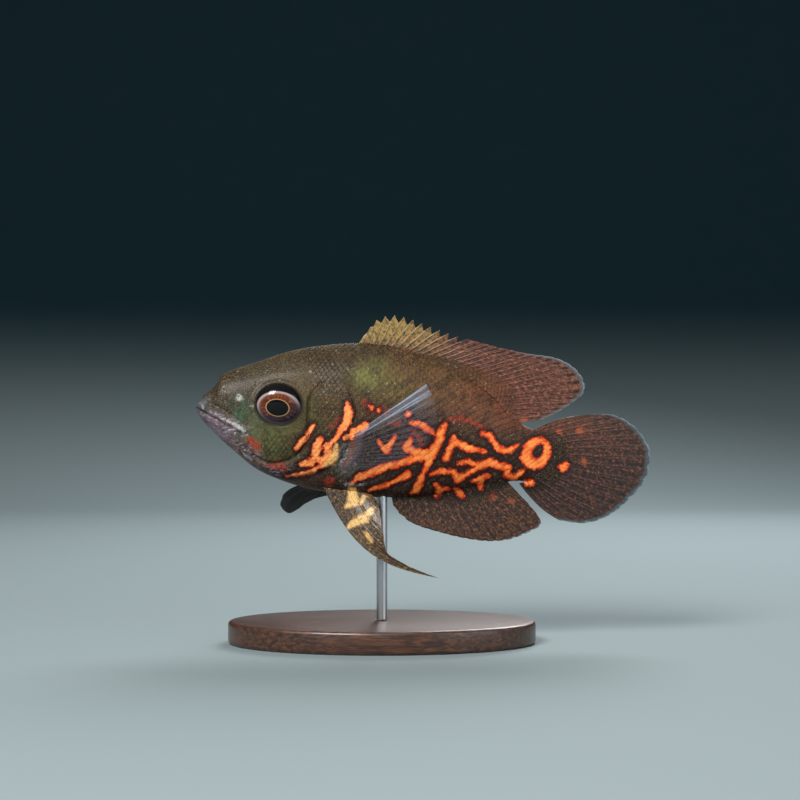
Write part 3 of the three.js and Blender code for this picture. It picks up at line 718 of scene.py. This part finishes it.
def makeScales(name, surface, outward, roots, unwrap=(90, 2 * pi)):
    a0, b0, small = roots.T
    pa, pb, out = slopes(surface, a0, b0, outward)
    tailward = pa / np.linalg.norm(pa, axis=1, keepdims=True)
    sideward = np.cross(out, tailward)
    n = len(a0)
    spots, quads, rim = scalePlate()
    wild = draws.normal(0, 1, (n, 4))
    length = coat["length"] * small * (1 + coat["stray"] * wild[:, 0])
    width = coat["width"] * small * (1 + coat["stray"] * wild[:, 1])
    swing = coat["swing"] * wild[:, 2]
    a, b, crown, run = (spots[None, :, k] for k in range(4))
    la, lb = a * length[:, None], b * width[:, None]
    ca, sa = np.cos(swing)[:, None], np.sin(swing)[:, None]
    la, lb = la * ca - lb * sa, la * sa + lb * ca
    # how far each corner lies along the surface's own two ways
    dot = lambda p, q: (p * q).sum(1)
    aa, ab, bb = dot(pa, pa), dot(pa, pb), dot(pb, pb)
    ra = la * dot(tailward, pa)[:, None] + lb * dot(sideward, pa)[:, None]
    rb = la * dot(tailward, pb)[:, None] + lb * dot(sideward, pb)[:, None]
    even = (aa * bb - ab * ab)[:, None]
    ga = a0[:, None] + (ra * bb[:, None] - rb * ab[:, None]) / even
    gb = b0[:, None] + (rb * aa[:, None] - ra * ab[:, None]) / even
    ga, gb = ga.ravel(), gb.ravel()
    lift = coat["lift"] * (1 + 0.15 * wild[:, [3]])
    rise = (-coat["sink"] + (coat["sink"] + lift) * run + coat["crown"] * crown) * small[:, None]
    p = surface(ga, gb) + slopes(surface, ga, gb, outward)[2] * rise.ravel()[:, None]
    m = len(spots)
    base = (np.arange(n) * m)[:, None]
    corners = np.concatenate([base + np.array(quads).ravel(), base + np.array(rim)], 1).ravel()
    sizes = np.tile([4] * len(quads) + [len(rim)], n)
    mesh = bpy.data.meshes.new(name)
    mesh.vertices.add(n * m)
    setPlaces(mesh, p)
    mesh.loops.add(len(corners))
    mesh.loops.foreach_set("vertex_index", corners.astype(np.int32))
    mesh.polygons.add(len(sizes))
    mesh.polygons.foreach_set("loop_start", np.concatenate([[0], np.cumsum(sizes)[:-1]]).astype(np.int32))
    mesh.update(calc_edges=True)
    spread = np.stack([a0 / unwrap[0], b0 / unwrap[1]], 1)[:, None, :] + coat["patch"] * spots[None, :, :2]
    layer = mesh.uv_layers.new(name="OFBake")
    layer.uv.foreach_set("vector", spread.reshape(-1, 2)[corners].astype(np.float32).ravel())
    mesh = meshFrom(reopened(mesh), name)
    mesh.set_sharp_from_angle(angle=coat["ridge"])
    q = np.repeat(surface(a0, b0), m, axis=0) * coat["rootPull"] + p * (1 - coat["rootPull"])
    paint(mesh, q, np.repeat(wild[:, 3] * 0.06, m))  # each scale's colour is drawn to its root's
    setField(mesh, "tip", np.tile(np.clip(spots[:, 3], 0, 1), n))
    setField(mesh, "rib", np.tile(spots[:, 1] * 2, n))
    setField(mesh, "shade", np.repeat(draws.random(n), m))
    # the scales carry no painted crease shade
    setField(mesh, "crease", np.zeros(n * m))
    print(name, n, "scales", len(mesh.polygons))
    return addPiece(name, mesh, scaleLook, "skin_body")


leftRoots = girthRows()
leftRoots = leftRoots[keepRoots(leftRoots)]
rightRoots = leftRoots * np.array([1, -1, 1]) + np.array([0, 2 * pi, 0])
makeScales("scales_left", bodySurface, bodyOut, leftRoots)
makeScales("scales_right", bodySurface, bodyOut, rightRoots)


# Fins

fins = {
    "dorsal_fin": {
        "root": [(32.5, 0, 17.2), (44, 0, 17.4), (56, 0, 14.2), (64, 0, 10.4), (69.5, 0, 5.2)],
        "edge": [
            (34.3, 0, 20.4), (36.6, 0, 24.2), (39.8, 0, 25.6), (42.8, 0, 25.5), (47.2, 0, 24.5),
            (54, 0, 22.9), (63, 0, 21.6), (70.5, 0, 21), (77.3, 0, 20.8), (81.3, 0, 19.3), (83.8, 0, 16.7),
            (84.2, 0, 14.2), (82.6, 0, 12.2), (79.4, 0, 9.4), (75.6, 0, 6.9)],
        "rays": 33, "spines": 13, "rootHalf": 1.25, "notch": 0.24, "rim": 0.9, "grid": (430, 44)},
    "anal_fin": {
        "root": [(44.4, 0, -13.2), (52, 0, -12.1), (60, 0, -9.8), (66, 0, -7.8), (69.2, 0, -7.2)],
        "edge": [
            (45.4, 0, -16.2), (47.3, 0, -18.1), (50.5, 0, -19.7), (57.1, 0, -20.9), (61.9, 0, -21.4),
            (67.4, 0, -21.4), (72, 0, -20.4), (76, 0, -18.3), (78.5, 0, -16.2), (77.6, 0, -14.3),
            (75.4, 0, -12.3)],
        "rays": 20, "spines": 3, "rootHalf": 1.15, "notch": 0.08, "rim": 0.35, "grid": (300, 44)},
    "caudal_fin": {
        "root": [(72.4, 0, 3.4), (75.4, 0, 2.6), (76.6, 0, -2), (75.6, 0, -6.2), (72.4, 0, -7.8)],
        "edge": [
            (86, 0, 9.4), (90.4, 0, 10), (93.7, 0, 9.4), (96.6, 0, 7.9), (98.8, 0, 5.8), (100.4, 0, 3.5),
            (100.9, 0, 0.3), (100.3, 0, -3.6), (98.9, 0, -6.1), (96.7, 0, -9), (94.5, 0, -11.4),
            (91.5, 0, -13.5), (87.8, 0, -14.8), (82.4, 0, -14.8)],
        "rays": 18, "spines": 0, "rootHalf": 1.1, "notch": 0, "rim": 1.3, "grid": (330, 90)},
    "pectoral_fin_left": {
        "root": [(34.0, -6.2, -2.6), (34.2, -6.2, -6.0), (33.4, -5.4, -9.3)],
        "edge": [
            (49.0, -15.5, 11.3), (50.9, -15.2, 8.4), (52.2, -14.9, 4.6), (51.6, -14.4, 0.6),
            (49.2, -13.6, -3), (45.2, -12.4, -6.2), (40.4, -10.6, -8.6)],
        "rays": 14, "spines": 0, "rootHalf": 0.55, "notch": 0, "rim": 1.5, "grid": (200, 60)},
    "pelvic_fin_left": {
        "root": [(29.6, -2.4, -14.2), (34, -2.3, -14.3), (39.4, -1.7, -13.8)],
        "edge": [
            (57.3, -7.6, -30.2), (50.5, -7.2, -28.6), (45.6, -6.9, -26.4), (44.4, -6.6, -23.4),
            (43.4, -5.6, -19.8), (42.3, -3.9, -16.6), (41.4, -2.4, -15.2)],
        "rays": 7, "spines": 1, "rootHalf": 0.6, "notch": 0, "rim": 0.3, "grid": (150, 90)},
    "pelvic_fin_right": {
        "root": [(25.8, 2.3, -13.9), (28.8, 2.5, -14.2), (32.0, 2.3, -14.3)],
        "edge": [
            (20.3, 12.2, -18.4), (19.9, 14.4, -20.4), (21.6, 15.2, -22.0), (23.6, 13.0, -21.0),
            (25.4, 10.4, -19.2), (28.2, 6.8, -17.2), (31.6, 4.0, -15.8)],
        "rays": 7, "spines": 1, "rootHalf": 0.6, "notch": 0, "rim": 0.3, "grid": (150, 60)},
}
leftOne = fins["pectoral_fin_left"]
fins["pectoral_fin_right"] = dict(
    leftOne, root=[(x, -y, z) for x, y, z in leftOne["root"]],
    edge=[(x, -0.92 * y, z) for x, y, z in leftOne["edge"]])
rays = {  # where each ray forks and by how much, how slim it is and how far it stands out, in mm
    "first": (0.4, 0.72), "firstGap": 0.16, "second": (0.7, 0.96), "secondGap": 0.075, "slim": (0.13, 0.07),
    "web": 0.08, "soft": 0.16, "spine": 0.3}


def finBow(name, u, v):  # how far the fin's surface bows between root and edge
    s = np.sin(pi * v)
    if name == "caudal_fin":
        return np.stack([0 * u, 0.4 * np.sin(7 * u + 2 * v) * v, 0.9 * (1 - 2 * u) * s], -1)
    if name == "pelvic_fin_left":
        return (((1 - u) ** 2) * s)[:, None] * np.array([-2.2, -0.6, -4.4])
    if name == "pelvic_fin_right":
        return ((1 - u) * s)[:, None] * np.array([-1.5, 0.0, -0.2])
    ripple = {"dorsal_fin": 0.3, "anal_fin": 0.25}.get(name, 0.35)
    return np.stack([0 * u, ripple * np.sin(9 * u + 1.5 * v) * np.clip(v, 0, 1) ** 1.5, 0 * u], -1)


def finSheet(name, u, v):  # the fin's middle surface, its way out, half thickness and the rays' own height
    fin = fins[name]
    rootAt, edgeAt = fin["rootAt"], fin["edgeAt"]
    ray = u * (fin["rays"] - 1)
    off = np.abs(ray - np.round(ray))  # 0 on a ray, 0.5 half way to the next
    soft = (np.round(ray) >= fin["spines"]) * 1.0
    first = rays["firstGap"] * ease(v, *rays["first"]) * soft
    second = rays["secondGap"] * ease(v, *rays["second"]) * soft
    slim = rays["slim"][0] * (1 - v) + rays["slim"][1] * v
    ridge = np.maximum(bump(off - first - second, slim), bump(off - first + second, slim))
    phase = ray - np.floor(ray)  # each spine's web slopes down to the next spine
    web = fin["notch"] * np.where(ray < fin["spines"] - 1, phase ** 0.8 * (1 - bump(1 - phase, 0.1)), 0)
    web = web + 0.012 * (1 - ridge) * soft
    w = v * (1 - web)
    centre = lambda u, w: rootAt(u) * (1 - w)[:, None] + edgeAt(u) * w[:, None] + finBow(name, u, w)
    across = centre(np.clip(u + 0.004, 0, 1), w) - centre(np.clip(u - 0.004, 0, 1), w)
    along = centre(u, w + 0.01) - centre(u, w - 0.01)
    normal = np.cross(across, along)
    normal /= np.linalg.norm(normal, axis=1, keepdims=True)
    normal *= np.where(normal[:, [1]].mean() < 0, -1, 1)
    proud = rays["soft"] * soft + rays["spine"] * (1 - soft)
    thick = rays["web"] + proud * ridge * (1 - 0.7 * v)
    thick = thick + (fin["rootHalf"] - 0.24) * (1 - ease(v, 0, 0.3)) ** 2
    return centre(u, w), normal, thick, ridge


def makeFin(name, look, slot):
    fin = fins[name]
    fin["rootAt"], fin["edgeAt"] = curveThrough(fin["root"]), curveThrough(fin["edge"])
    bm = bmesh.new()
    bmesh.ops.create_grid(bm, x_segments=fin["grid"][0], y_segments=fin["grid"][1], size=1)
    u, v = (np.array([vert.co[:2] for vert in bm.verts]) * 0.5 + 0.5).T
    middle, normal, thick, ridge = finSheet(name, u, v)
    thin = ease(np.minimum(1 - v, np.minimum(u, 1 - u) * 12), 0, 0.02) * 0.75 + 0.25
    twins = vertsOf(bmesh.ops.duplicate(bm, geom=bm.verts[:] + bm.edges[:] + bm.faces[:]))
    for sign, verts in ((1, bm.verts[:len(u)]), (-1, twins)):
        for vert, place in zip(verts, toRow(middle + normal * (sign * thick * thin)[:, None])):
            vert.co = place
    bmesh.ops.bridge_loops(bm, edges=[e for e in bm.edges if e.is_boundary])
    mesh = meshFrom(bm, name)
    both = lambda values: np.concatenate([values, values])
    paint(mesh, both(middle))
    length = np.linalg.norm(fin["edgeAt"](u) - fin["rootAt"](u), axis=1)
    setField(mesh, "ray", both(ridge))
    setField(mesh, "rim", both((1 - v) * length))  # mm from the fin's edge
    setField(mesh, "reach", both(v))
    setField(mesh, "row", both(u))
    setField(mesh, "joints", both(v * length))
    return addPiece(name.replace("_fin", "_fin_skin"), mesh, look, slot, name)


plainFin = {
    "dark": (18, 12, 12), "rimDepth": 0.4, "rimFrom": 0.9, "outerFrom": -1, "flecks": 0.4, "streaks": 0.2,
    "shine": 0.35, "ray": (134, 98, 72), "rust": (156, 76, 44), "cream": (224, 180, 112),
    "hem": (168, 178, 184)}
finTones = {
    "dorsal": {
        "front": (144, 120, 62), "rear": (88, 48, 35), "outer": (98, 56, 42), "outerFrom": 0.24,
        "rim": (88, 98, 102), "rimDepth": 1.2, "rimFrom": 0.52, "fleck": (170, 108, 80), "flecks": 0.5,
        "dark": (30, 17, 14), "streaks": 0.9},
    "anal": {
        "front": (36, 25, 23), "rear": (50, 30, 24), "outer": (56, 34, 25), "rim": (58, 48, 44),
        "rimDepth": 0.6, "rimFrom": 0.6, "fleck": (170, 108, 58), "streaks": 0.3},
    "caudal": {
        "front": (84, 50, 36), "rear": (44, 28, 24), "outer": (46, 34, 32), "rim": (74, 88, 95),
        "rimDepth": 1.4, "rimFrom": -0.2, "fleck": (156, 88, 60)},
    "pelvic": {
        "front": (52, 37, 26), "rear": (62, 43, 27), "outer": (48, 33, 23), "rim": (60, 44, 34),
        "fleck": (206, 164, 92), "flecks": 0.5, "dark": (22, 15, 12)},
    # the far pelvic fin: the near fin's tones darkened as painted shade
    "pelvicFar": {
        "front": (12, 9, 10), "rear": (16, 11, 11), "outer": (11, 8, 9), "rim": (14, 12, 13),
        "fleck": (34, 22, 17), "flecks": 0.3, "dark": (6, 5, 6), "shine": 0.1}}


def finFinish(name, tones):
    f = Finish(name)
    row, reach, ray, joints = (f.field(key) for key in ("row", "reach", "ray", "joints"))
    wander = f.noise(700, 3, 0.6)
    fleck = f.noise(2600, 3, 0.7)
    # spots drawn out along the rays
    along = f.node("ShaderNodeCombineXYZ", {}, {"X": row * 62.0, "Y": joints * 1.25})
    spots = f.noise(1.0, 3, 0.6, where=along)
    edge = f.field("rim") + (wander - 0.5) * 0.8
    outer = f.step(reach + (wander - 0.5) * 0.4, 0.5, 0.95) * f.step(row, tones["outerFrom"], 0.4)
    streak = f.step(ray, 0.45, 0.1) * f.step(edge, 3.4, 1.8) * f.step(edge, 0.3, 0.9)
    hind = f.step(row, tones["rimFrom"], tones["rimFrom"] + 0.15)
    wobble = (wander - 0.5) * 1.4 + (fleck - 0.5) * 0.4
    ground = f.mix(f.step(row + (wander - 0.5) * 0.2, 0.12, 0.5), tones["front"], tones["rear"])
    ground = f.laid(
        ground,
        (outer, tones["outer"]),
        (f.step(reach + (wander - 0.5) * 0.3, 0.5, 0.05), f.colour("hide")),
        (f.step(spots, 0.48, 0.62) * 0.7, tones["dark"]),
        (f.step(spots, 0.47, 0.33) * tones["flecks"], tones["fleck"]),
        (f.step(f.noise(1900, 3, 0.6), 0.54, 0.68) * 0.35, tones["fleck"]),
        (f.step(fleck, 0.54, 0.68) * 0.4, tones["dark"]),
        (streak * tones["streaks"] * f.step(row, 0.3, 0.45), tones["dark"]),
        (ray * 0.08, tones["ray"]),
        (f.step(f.noise(1300, 4, 0.7), 0.5, 0.62) * 0.45, tones["dark"]),
        (f.step(f.field("rust") + wobble, 0.5, -0.5) * 0.75, tones["rust"]))
    ground = flameOver(f, ground, wobble * 0.7)
    frayed = 0.95 - f.step(f.noise(1.0, 2, 0.6, where=along), 0.52, 0.64) * 0.6
    ground = f.laid(
        ground,
        (f.step(f.field("cream") + wobble * 1.2, 0.4, -0.5) * frayed, tones["cream"]),
        (f.step(edge, tones["rimDepth"], tones["rimDepth"] * 0.4) * hind * 0.75, tones["rim"]),
        (f.step(edge, 0.35, 0.1) * hind * 0.6, tones["hem"]))
    solid = 1 - f.step(edge, tones["rimDepth"] * 1.1, 0.0) * hind * 0.4 * (1 - ray * 0.6)
    height = f.noise(2400, 2, 0.5) + f.maths("SINE", joints * 12.0) * 0.3 * ray
    return f.wear(
        Base_Color=ground, Roughness=0.4 + fleck * 0.2, Alpha=solid, Coat_Weight=0.15, Coat_Roughness=0.2,
        Specular_IOR_Level=tones["shine"], Normal=f.bumped(height, 0.00008, 0.5))


glass = {"web": (96, 100, 116), "lead": (164, 178, 200), "fleck": (58, 54, 64), "root": (120, 70, 60)}


def clearFinish(name):  # the glassy breast fins, with pale leading rays
    f = Finish(name)
    ray = f.field("ray")
    lead = f.step(f.field("row") + (f.noise(500, 2, 0.5) - 0.5) * 0.08, 0.2, 0.02)
    root = f.step(f.field("reach"), 0.2, 0.02)
    tone = f.laid(
        f.mix(lead, glass["web"], glass["lead"]),
        (f.step(f.noise(1800, 3, 0.6), 0.55, 0.7) * 0.5, glass["fleck"]),
        (root, glass["root"]))
    fade = f.step(f.field("rim"), 0.0, 6.0) * 0.5 + 0.5
    solid = (0.03 + ray * (0.17 + lead * 0.5) + lead * 0.08 + root * 0.5) * fade
    solid = f.maths("MINIMUM", solid, 0.96)
    height = f.maths("SINE", f.field("joints") * 12.0) * ray
    return f.wear(
        Base_Color=tone, Roughness=0.35, Alpha=solid, Coat_Weight=0.2, Specular_IOR_Level=0.4,
        Normal=f.bumped(height, 0.00005, 0.4))


looks = {kind: finFinish(kind + "Membrane", dict(plainFin, **tones)) for kind, tones in finTones.items()}
looks["pectoral"] = clearFinish("pectoralMembrane")
for name, kind, slot in (
        ("dorsal_fin", "dorsal", "fin"), ("anal_fin", "anal", "fin"), ("caudal_fin", "caudal", "fin"),
        ("pelvic_fin_left", "pelvic", "fin"), ("pelvic_fin_right", "pelvicFar", "fin"),
        ("pectoral_fin_left", "pectoral", "fin_clear"), ("pectoral_fin_right", "pectoral", "fin_clear")):
    makeFin(name, looks[kind], slot)
print("fins done")


# Small scales that run up onto the roots of the unpaired fins

sheaths = {  # the stretch of each fin that they cover, how far up, and their size
    "dorsal_fin": {"from": 0.3, "to": 0.98, "reach": 0.3, "size": 0.5},
    "anal_fin": {"from": 0.12, "to": 0.98, "reach": 0.34, "size": 0.5},
    "caudal_fin": {"from": 0.03, "to": 0.97, "reach": 0.26, "size": 0.56}}


def sheathRoots(fin, start, end, reach, size):
    roots = []
    across = np.linalg.norm(np.diff(fin["rootAt"](np.linspace(0, 1, 60)), axis=0), axis=1).sum()
    for k, u in enumerate(np.arange(start, end, coat["row"] * size * 1.05 / across)):
        deep = np.linalg.norm(fin["edgeAt"](np.array([u])) - fin["rootAt"](np.array([u])))
        step = coat["step"] * size / deep
        crown = reach * np.sin(pi * (u - start) / (end - start)) ** 0.4
        for v in np.arange(0.02 + (0.5 * step if k % 2 else 0), crown, step):
            roots.append((v, u, size * (1 - 0.35 * v / reach)))
    return np.array(roots)


def sheathScales():
    for name, sheath in sheaths.items():
        roots = sheathRoots(fins[name], *sheath.values())
        for side in (-1, 1):
            def surface(v, u):
                middle, normal, thick, _ = finSheet(name, np.clip(u, 0, 1), np.clip(v, 0, 1))
                return middle + normal * (side * thick)[:, None]

            def outward(v, u):
                return np.stack([0 * u, 0 * u + side, 0 * u], -1)
            piece = name.replace("_fin", "_sheath") + ("_left" if side < 0 else "_right")
            makeScales(piece, surface, outward, roots, unwrap=(1.1, 1.1))


sheathScales()


# Eyes

eyeTones = {
    "dusk": (54, 42, 56), "warm": (112, 56, 32), "inner": (62, 26, 16), "dark": (36, 18, 16),
    "spark": (176, 108, 68), "fleck": (44, 28, 30), "rimLow": (104, 97, 118), "rimHighlight": (152, 138, 138),
    "outside": (10, 8, 12), "pupilEdge": (172, 134, 88), "pupil": (4, 3, 3)}


def eyeFinish():
    f, tones = Finish("wetEye"), eyeTones
    r, p, lean = f.field("irisRing"), f.field("pupilRing"), f.field("eyeLean")
    spokes = f.node("ShaderNodeCombineXYZ", {}, {"X": f.field("eyeTurn") * 9.0, "Y": r * 2.4})
    ray = f.noise(1.0, 4, 0.65, where=spokes)
    warm = f.step(lean + (f.noise(500, 3, 0.6) - 0.5) * 0.8, -0.75, 0.35)
    tone = f.laid(
        f.mix(warm, tones["dusk"], tones["warm"]),
        (f.step(r, 0.78, 0.5) * 0.5, tones["inner"]),
        (f.step(ray, 0.46, 0.6) * 0.7, tones["dark"]),
        (f.step(ray, 0.44, 0.32) * 0.45, tones["spark"]),
        (f.step(f.noise(1600, 3, 0.7), 0.5, 0.68) * 0.4, tones["fleck"]),
        # the iris rim's pale lavender, lighter toward the upper left as a painted highlight
        (f.step(r + (ray - 0.5) * 0.12, 0.84, 0.96),
         f.mix(f.step(lean, -0.5, 0.7), tones["rimLow"], tones["rimHighlight"])),
        (f.step(r, 1.0, 1.05), tones["outside"]),
        (f.step(p, 1.13, 1.06), tones["pupilEdge"]),
        (f.step(p, 1.05, 0.97), tones["pupil"]))
    return f.wear(
        Base_Color=tone, Roughness=0.3, Coat_Weight=0.55, Coat_Roughness=0.03, Specular_IOR_Level=0.05)


eyeLook = eyeFinish()


def makeEye(side):
    name = "eye_left" if side < 0 else "eye_right"
    bm = bmesh.new()
    bmesh.ops.create_uvsphere(bm, u_segments=96, v_segments=64, radius=1)
    mesh = meshFrom(bm, name + "_ball")
    q = places(mesh)[:, [0, 2, 1]] * np.array([1, side, 1])  # the sphere's pole looks outwards
    p = q * np.array(eye["radii"])
    t = side * eye["tilt"]
    p = np.stack([p[:, 0], p[:, 1] * cos(t) - p[:, 2] * sin(t), p[:, 1] * sin(t) + p[:, 2] * cos(t)], -1)
    p += np.array([eye["x"], side * eye["out"], eye["z"]])
    dx, dz = p[:, 0] - iris["x"], p[:, 2] - iris["z"]
    outward = p[:, 1] * side > eye["out"]
    ringAt = np.hypot(dx / iris["radii"][0], dz / iris["radii"][1])
    pupilAt = np.hypot((dx + iris["pupilShift"]) / iris["pupil"][0], dz / iris["pupil"][1])
    setField(mesh, "irisRing", np.where(outward, ringAt, 2))
    setField(mesh, "pupilRing", np.where(outward, pupilAt, 3))
    setField(mesh, "eyeLean", dz / 3.5 - dx / 9)
    setField(mesh, "eyeTurn", np.abs(np.arctan2(dx / iris["radii"][0], dz / iris["radii"][1])))
    setPlaces(mesh, p)
    mesh = meshFrom(reopened(mesh), name + "_ball")
    return addPiece(name + "_ball", mesh, eyeLook, "eye", name)


for side in (-1, 1):
    makeEye(side)
print("eyes done")


# Stand

stand = {"length": 68, "depth": 44, "thick": 5, "edge": 0.8, "rod": 1.2, "sunk": 1.2, "ridge": radians(50)}


def woodFinish():
    f = Finish("stainedWood")
    where = f.place((6, 60, 60))
    grain = f.noise(24, 5, 0.6, where=where, twist=0.6)
    pits = f.noise(160, 3, 0.7, where=where)
    tone = f.ramp(f.step(grain, 0.3, 0.72), [(0.0, (38, 22, 15)), (0.5, (66, 38, 24)), (1.0, (96, 58, 36))])
    tone = f.mix(f.step(pits, 0.56, 0.66) * 0.5, tone, (24, 14, 10))
    return f.wear(
        Base_Color=tone, Roughness=0.3 + grain * 0.2, Coat_Weight=0.4, Coat_Roughness=0.15,
        Normal=f.bumped(grain + pits * 0.5, 0.0002, 0.4))


def steelFinish():
    f = Finish("brushedSteel")
    hair = f.noise(900, 3, 0.6, where=f.place((1, 1, 0.04)))
    tone = f.mix(hair, (178, 180, 184), (206, 208, 212))
    return f.wear(
        Base_Color=tone, Metallic=1.0, Roughness=0.24 + hair * 0.16, Normal=f.bumped(hair, 0.00005, 0.3))


def makeStand():
    bm = bmesh.new()
    ring = bmesh.ops.create_circle(bm, cap_ends=True, segments=160, radius=1)
    bmesh.ops.scale(bm, vec=(stand["length"] / 2 * mm, stand["depth"] / 2 * mm, 1), verts=ring["verts"])
    top = bmesh.ops.extrude_face_region(bm, geom=bm.faces[:])
    bmesh.ops.translate(bm, vec=(0, 0, stand["thick"] * mm), verts=vertsOf(top))
    rims = [e for e in bm.edges if len(e.link_faces) == 2 and e.calc_face_angle() > 1 and
            abs(e.verts[0].co.z - e.verts[1].co.z) < 1e-6]
    bmesh.ops.bevel(
        bm, geom=rims, offset=stand["edge"] * mm, segments=4, profile=0.5, affect="EDGES", material=-1)
    mesh = meshFrom(bm, "stand_base_wood")
    mesh.set_sharp_from_angle(angle=stand["ridge"])
    addPiece("stand_base_wood", mesh, woodFinish(), "base_wood", "stand_base")
    low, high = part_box("stand_rod")
    bm = bmesh.new()
    radius, depth = stand["rod"] * mm, high.z - low.z + stand["sunk"] * mm  # its top is sunk in the belly
    rod = bmesh.ops.create_cone(bm, cap_ends=True, segments=48, radius1=radius, radius2=radius, depth=depth)
    bmesh.ops.translate(
        bm, vec=((low.x + high.x) / 2, (low.y + high.y) / 2, low.z + depth / 2), verts=rod["verts"])
    mesh = meshFrom(bm, "stand_rod_steel")
    mesh.set_sharp_from_angle(angle=stand["ridge"])
    addPiece("stand_rod_steel", mesh, steelFinish(), "rod_steel", "stand_rod")


makeStand()
print("stand done")


# Floor, lights and camera

backdrop = {
    "half": 1.6, "run": 1.2, "shift": 0.1, "flat": 0.5, "curve": 0.4,
    "floor": (128, 141, 144), "wall": (17, 42, 49), "between": (-0.008, 0.12)}
lamps = {
    "keyLight": {"at": (-0.24, -0.46, 0.46), "size": 0.26, "power": 6.0, "colour": (1.0, 0.98, 0.95)},
    "fillLight": {"at": (0.5, -0.4, 0.2), "size": 0.5, "power": 1.4, "colour": (0.93, 0.97, 1.0)},
    "rimLight": {"at": (0.15, 0.4, 0.4), "size": 0.3, "power": 3.2, "colour": (1, 1, 1)}}
middle = (0.004, 0.0, 0.05)


def makeStage():
    bm = bmesh.new()
    bmesh.ops.create_grid(bm, x_segments=60, y_segments=160, size=1)
    flat, curve = backdrop["flat"], backdrop["curve"]
    for v in bm.verts:
        run = v.co.y * backdrop["run"] + backdrop["shift"]
        turn = min(max(run - flat, 0), curve * pi / 2) / curve
        rise = max(run - flat - curve * pi / 2, 0)
        v.co = Vector((
            v.co.x * backdrop["half"], min(run, flat) + curve * sin(turn), curve * (1 - cos(turn)) + rise))
    mesh = meshFrom(bm, "studioFloor")
    f = Finish("paleFloor")
    height = f.node("ShaderNodeSeparateXYZ", {}, {0: f.place()}, out=2)
    speck = f.noise(60, 3, 0.5)
    tone = f.mix(f.step(height, *backdrop["between"]), backdrop["floor"], backdrop["wall"])
    tone = f.mix(speck * 0.02, tone, backdrop["floor"])
    mesh.materials.append(f.wear(Base_Color=tone, Roughness=0.8, Specular_IOR_Level=0.1))
    floor = inScene("studioFloor", mesh)


def addLight(name, lamp):
    light = bpy.data.lights.new(name, "AREA")
    light.size, light.energy, light.color = lamp["size"], lamp["power"], lamp["colour"]
    holder = inScene(name, light)
    holder.location = lamp["at"]
    holder.rotation_euler = (Vector(middle) - Vector(lamp["at"])).to_track_quat("-Z", "Y").to_euler()


makeStage()
for name, lamp in lamps.items():
    addLight(name, lamp)
world = bpy.data.worlds.new("softRoom")
world.use_nodes = True
world.node_tree.nodes["Background"].inputs[0].default_value = (0.82, 0.86, 0.9, 1)
world.node_tree.nodes["Background"].inputs[1].default_value = 0.22
bpy.context.scene.world = world
bpy.context.scene.view_settings.view_transform = "Standard"

shot = {"lens": 85, "distance": 0.418, "x": 0.004, "z": 0.0537}
lens = bpy.data.cameras.new("photoCamera")
lens.lens, lens.sensor_width = shot["lens"], 36
camera = inScene("photoCamera", lens)
camera.location = (shot["x"], -shot["distance"], shot["z"])
camera.rotation_euler = (radians(90), 0, 0)
bpy.context.scene.camera = camera
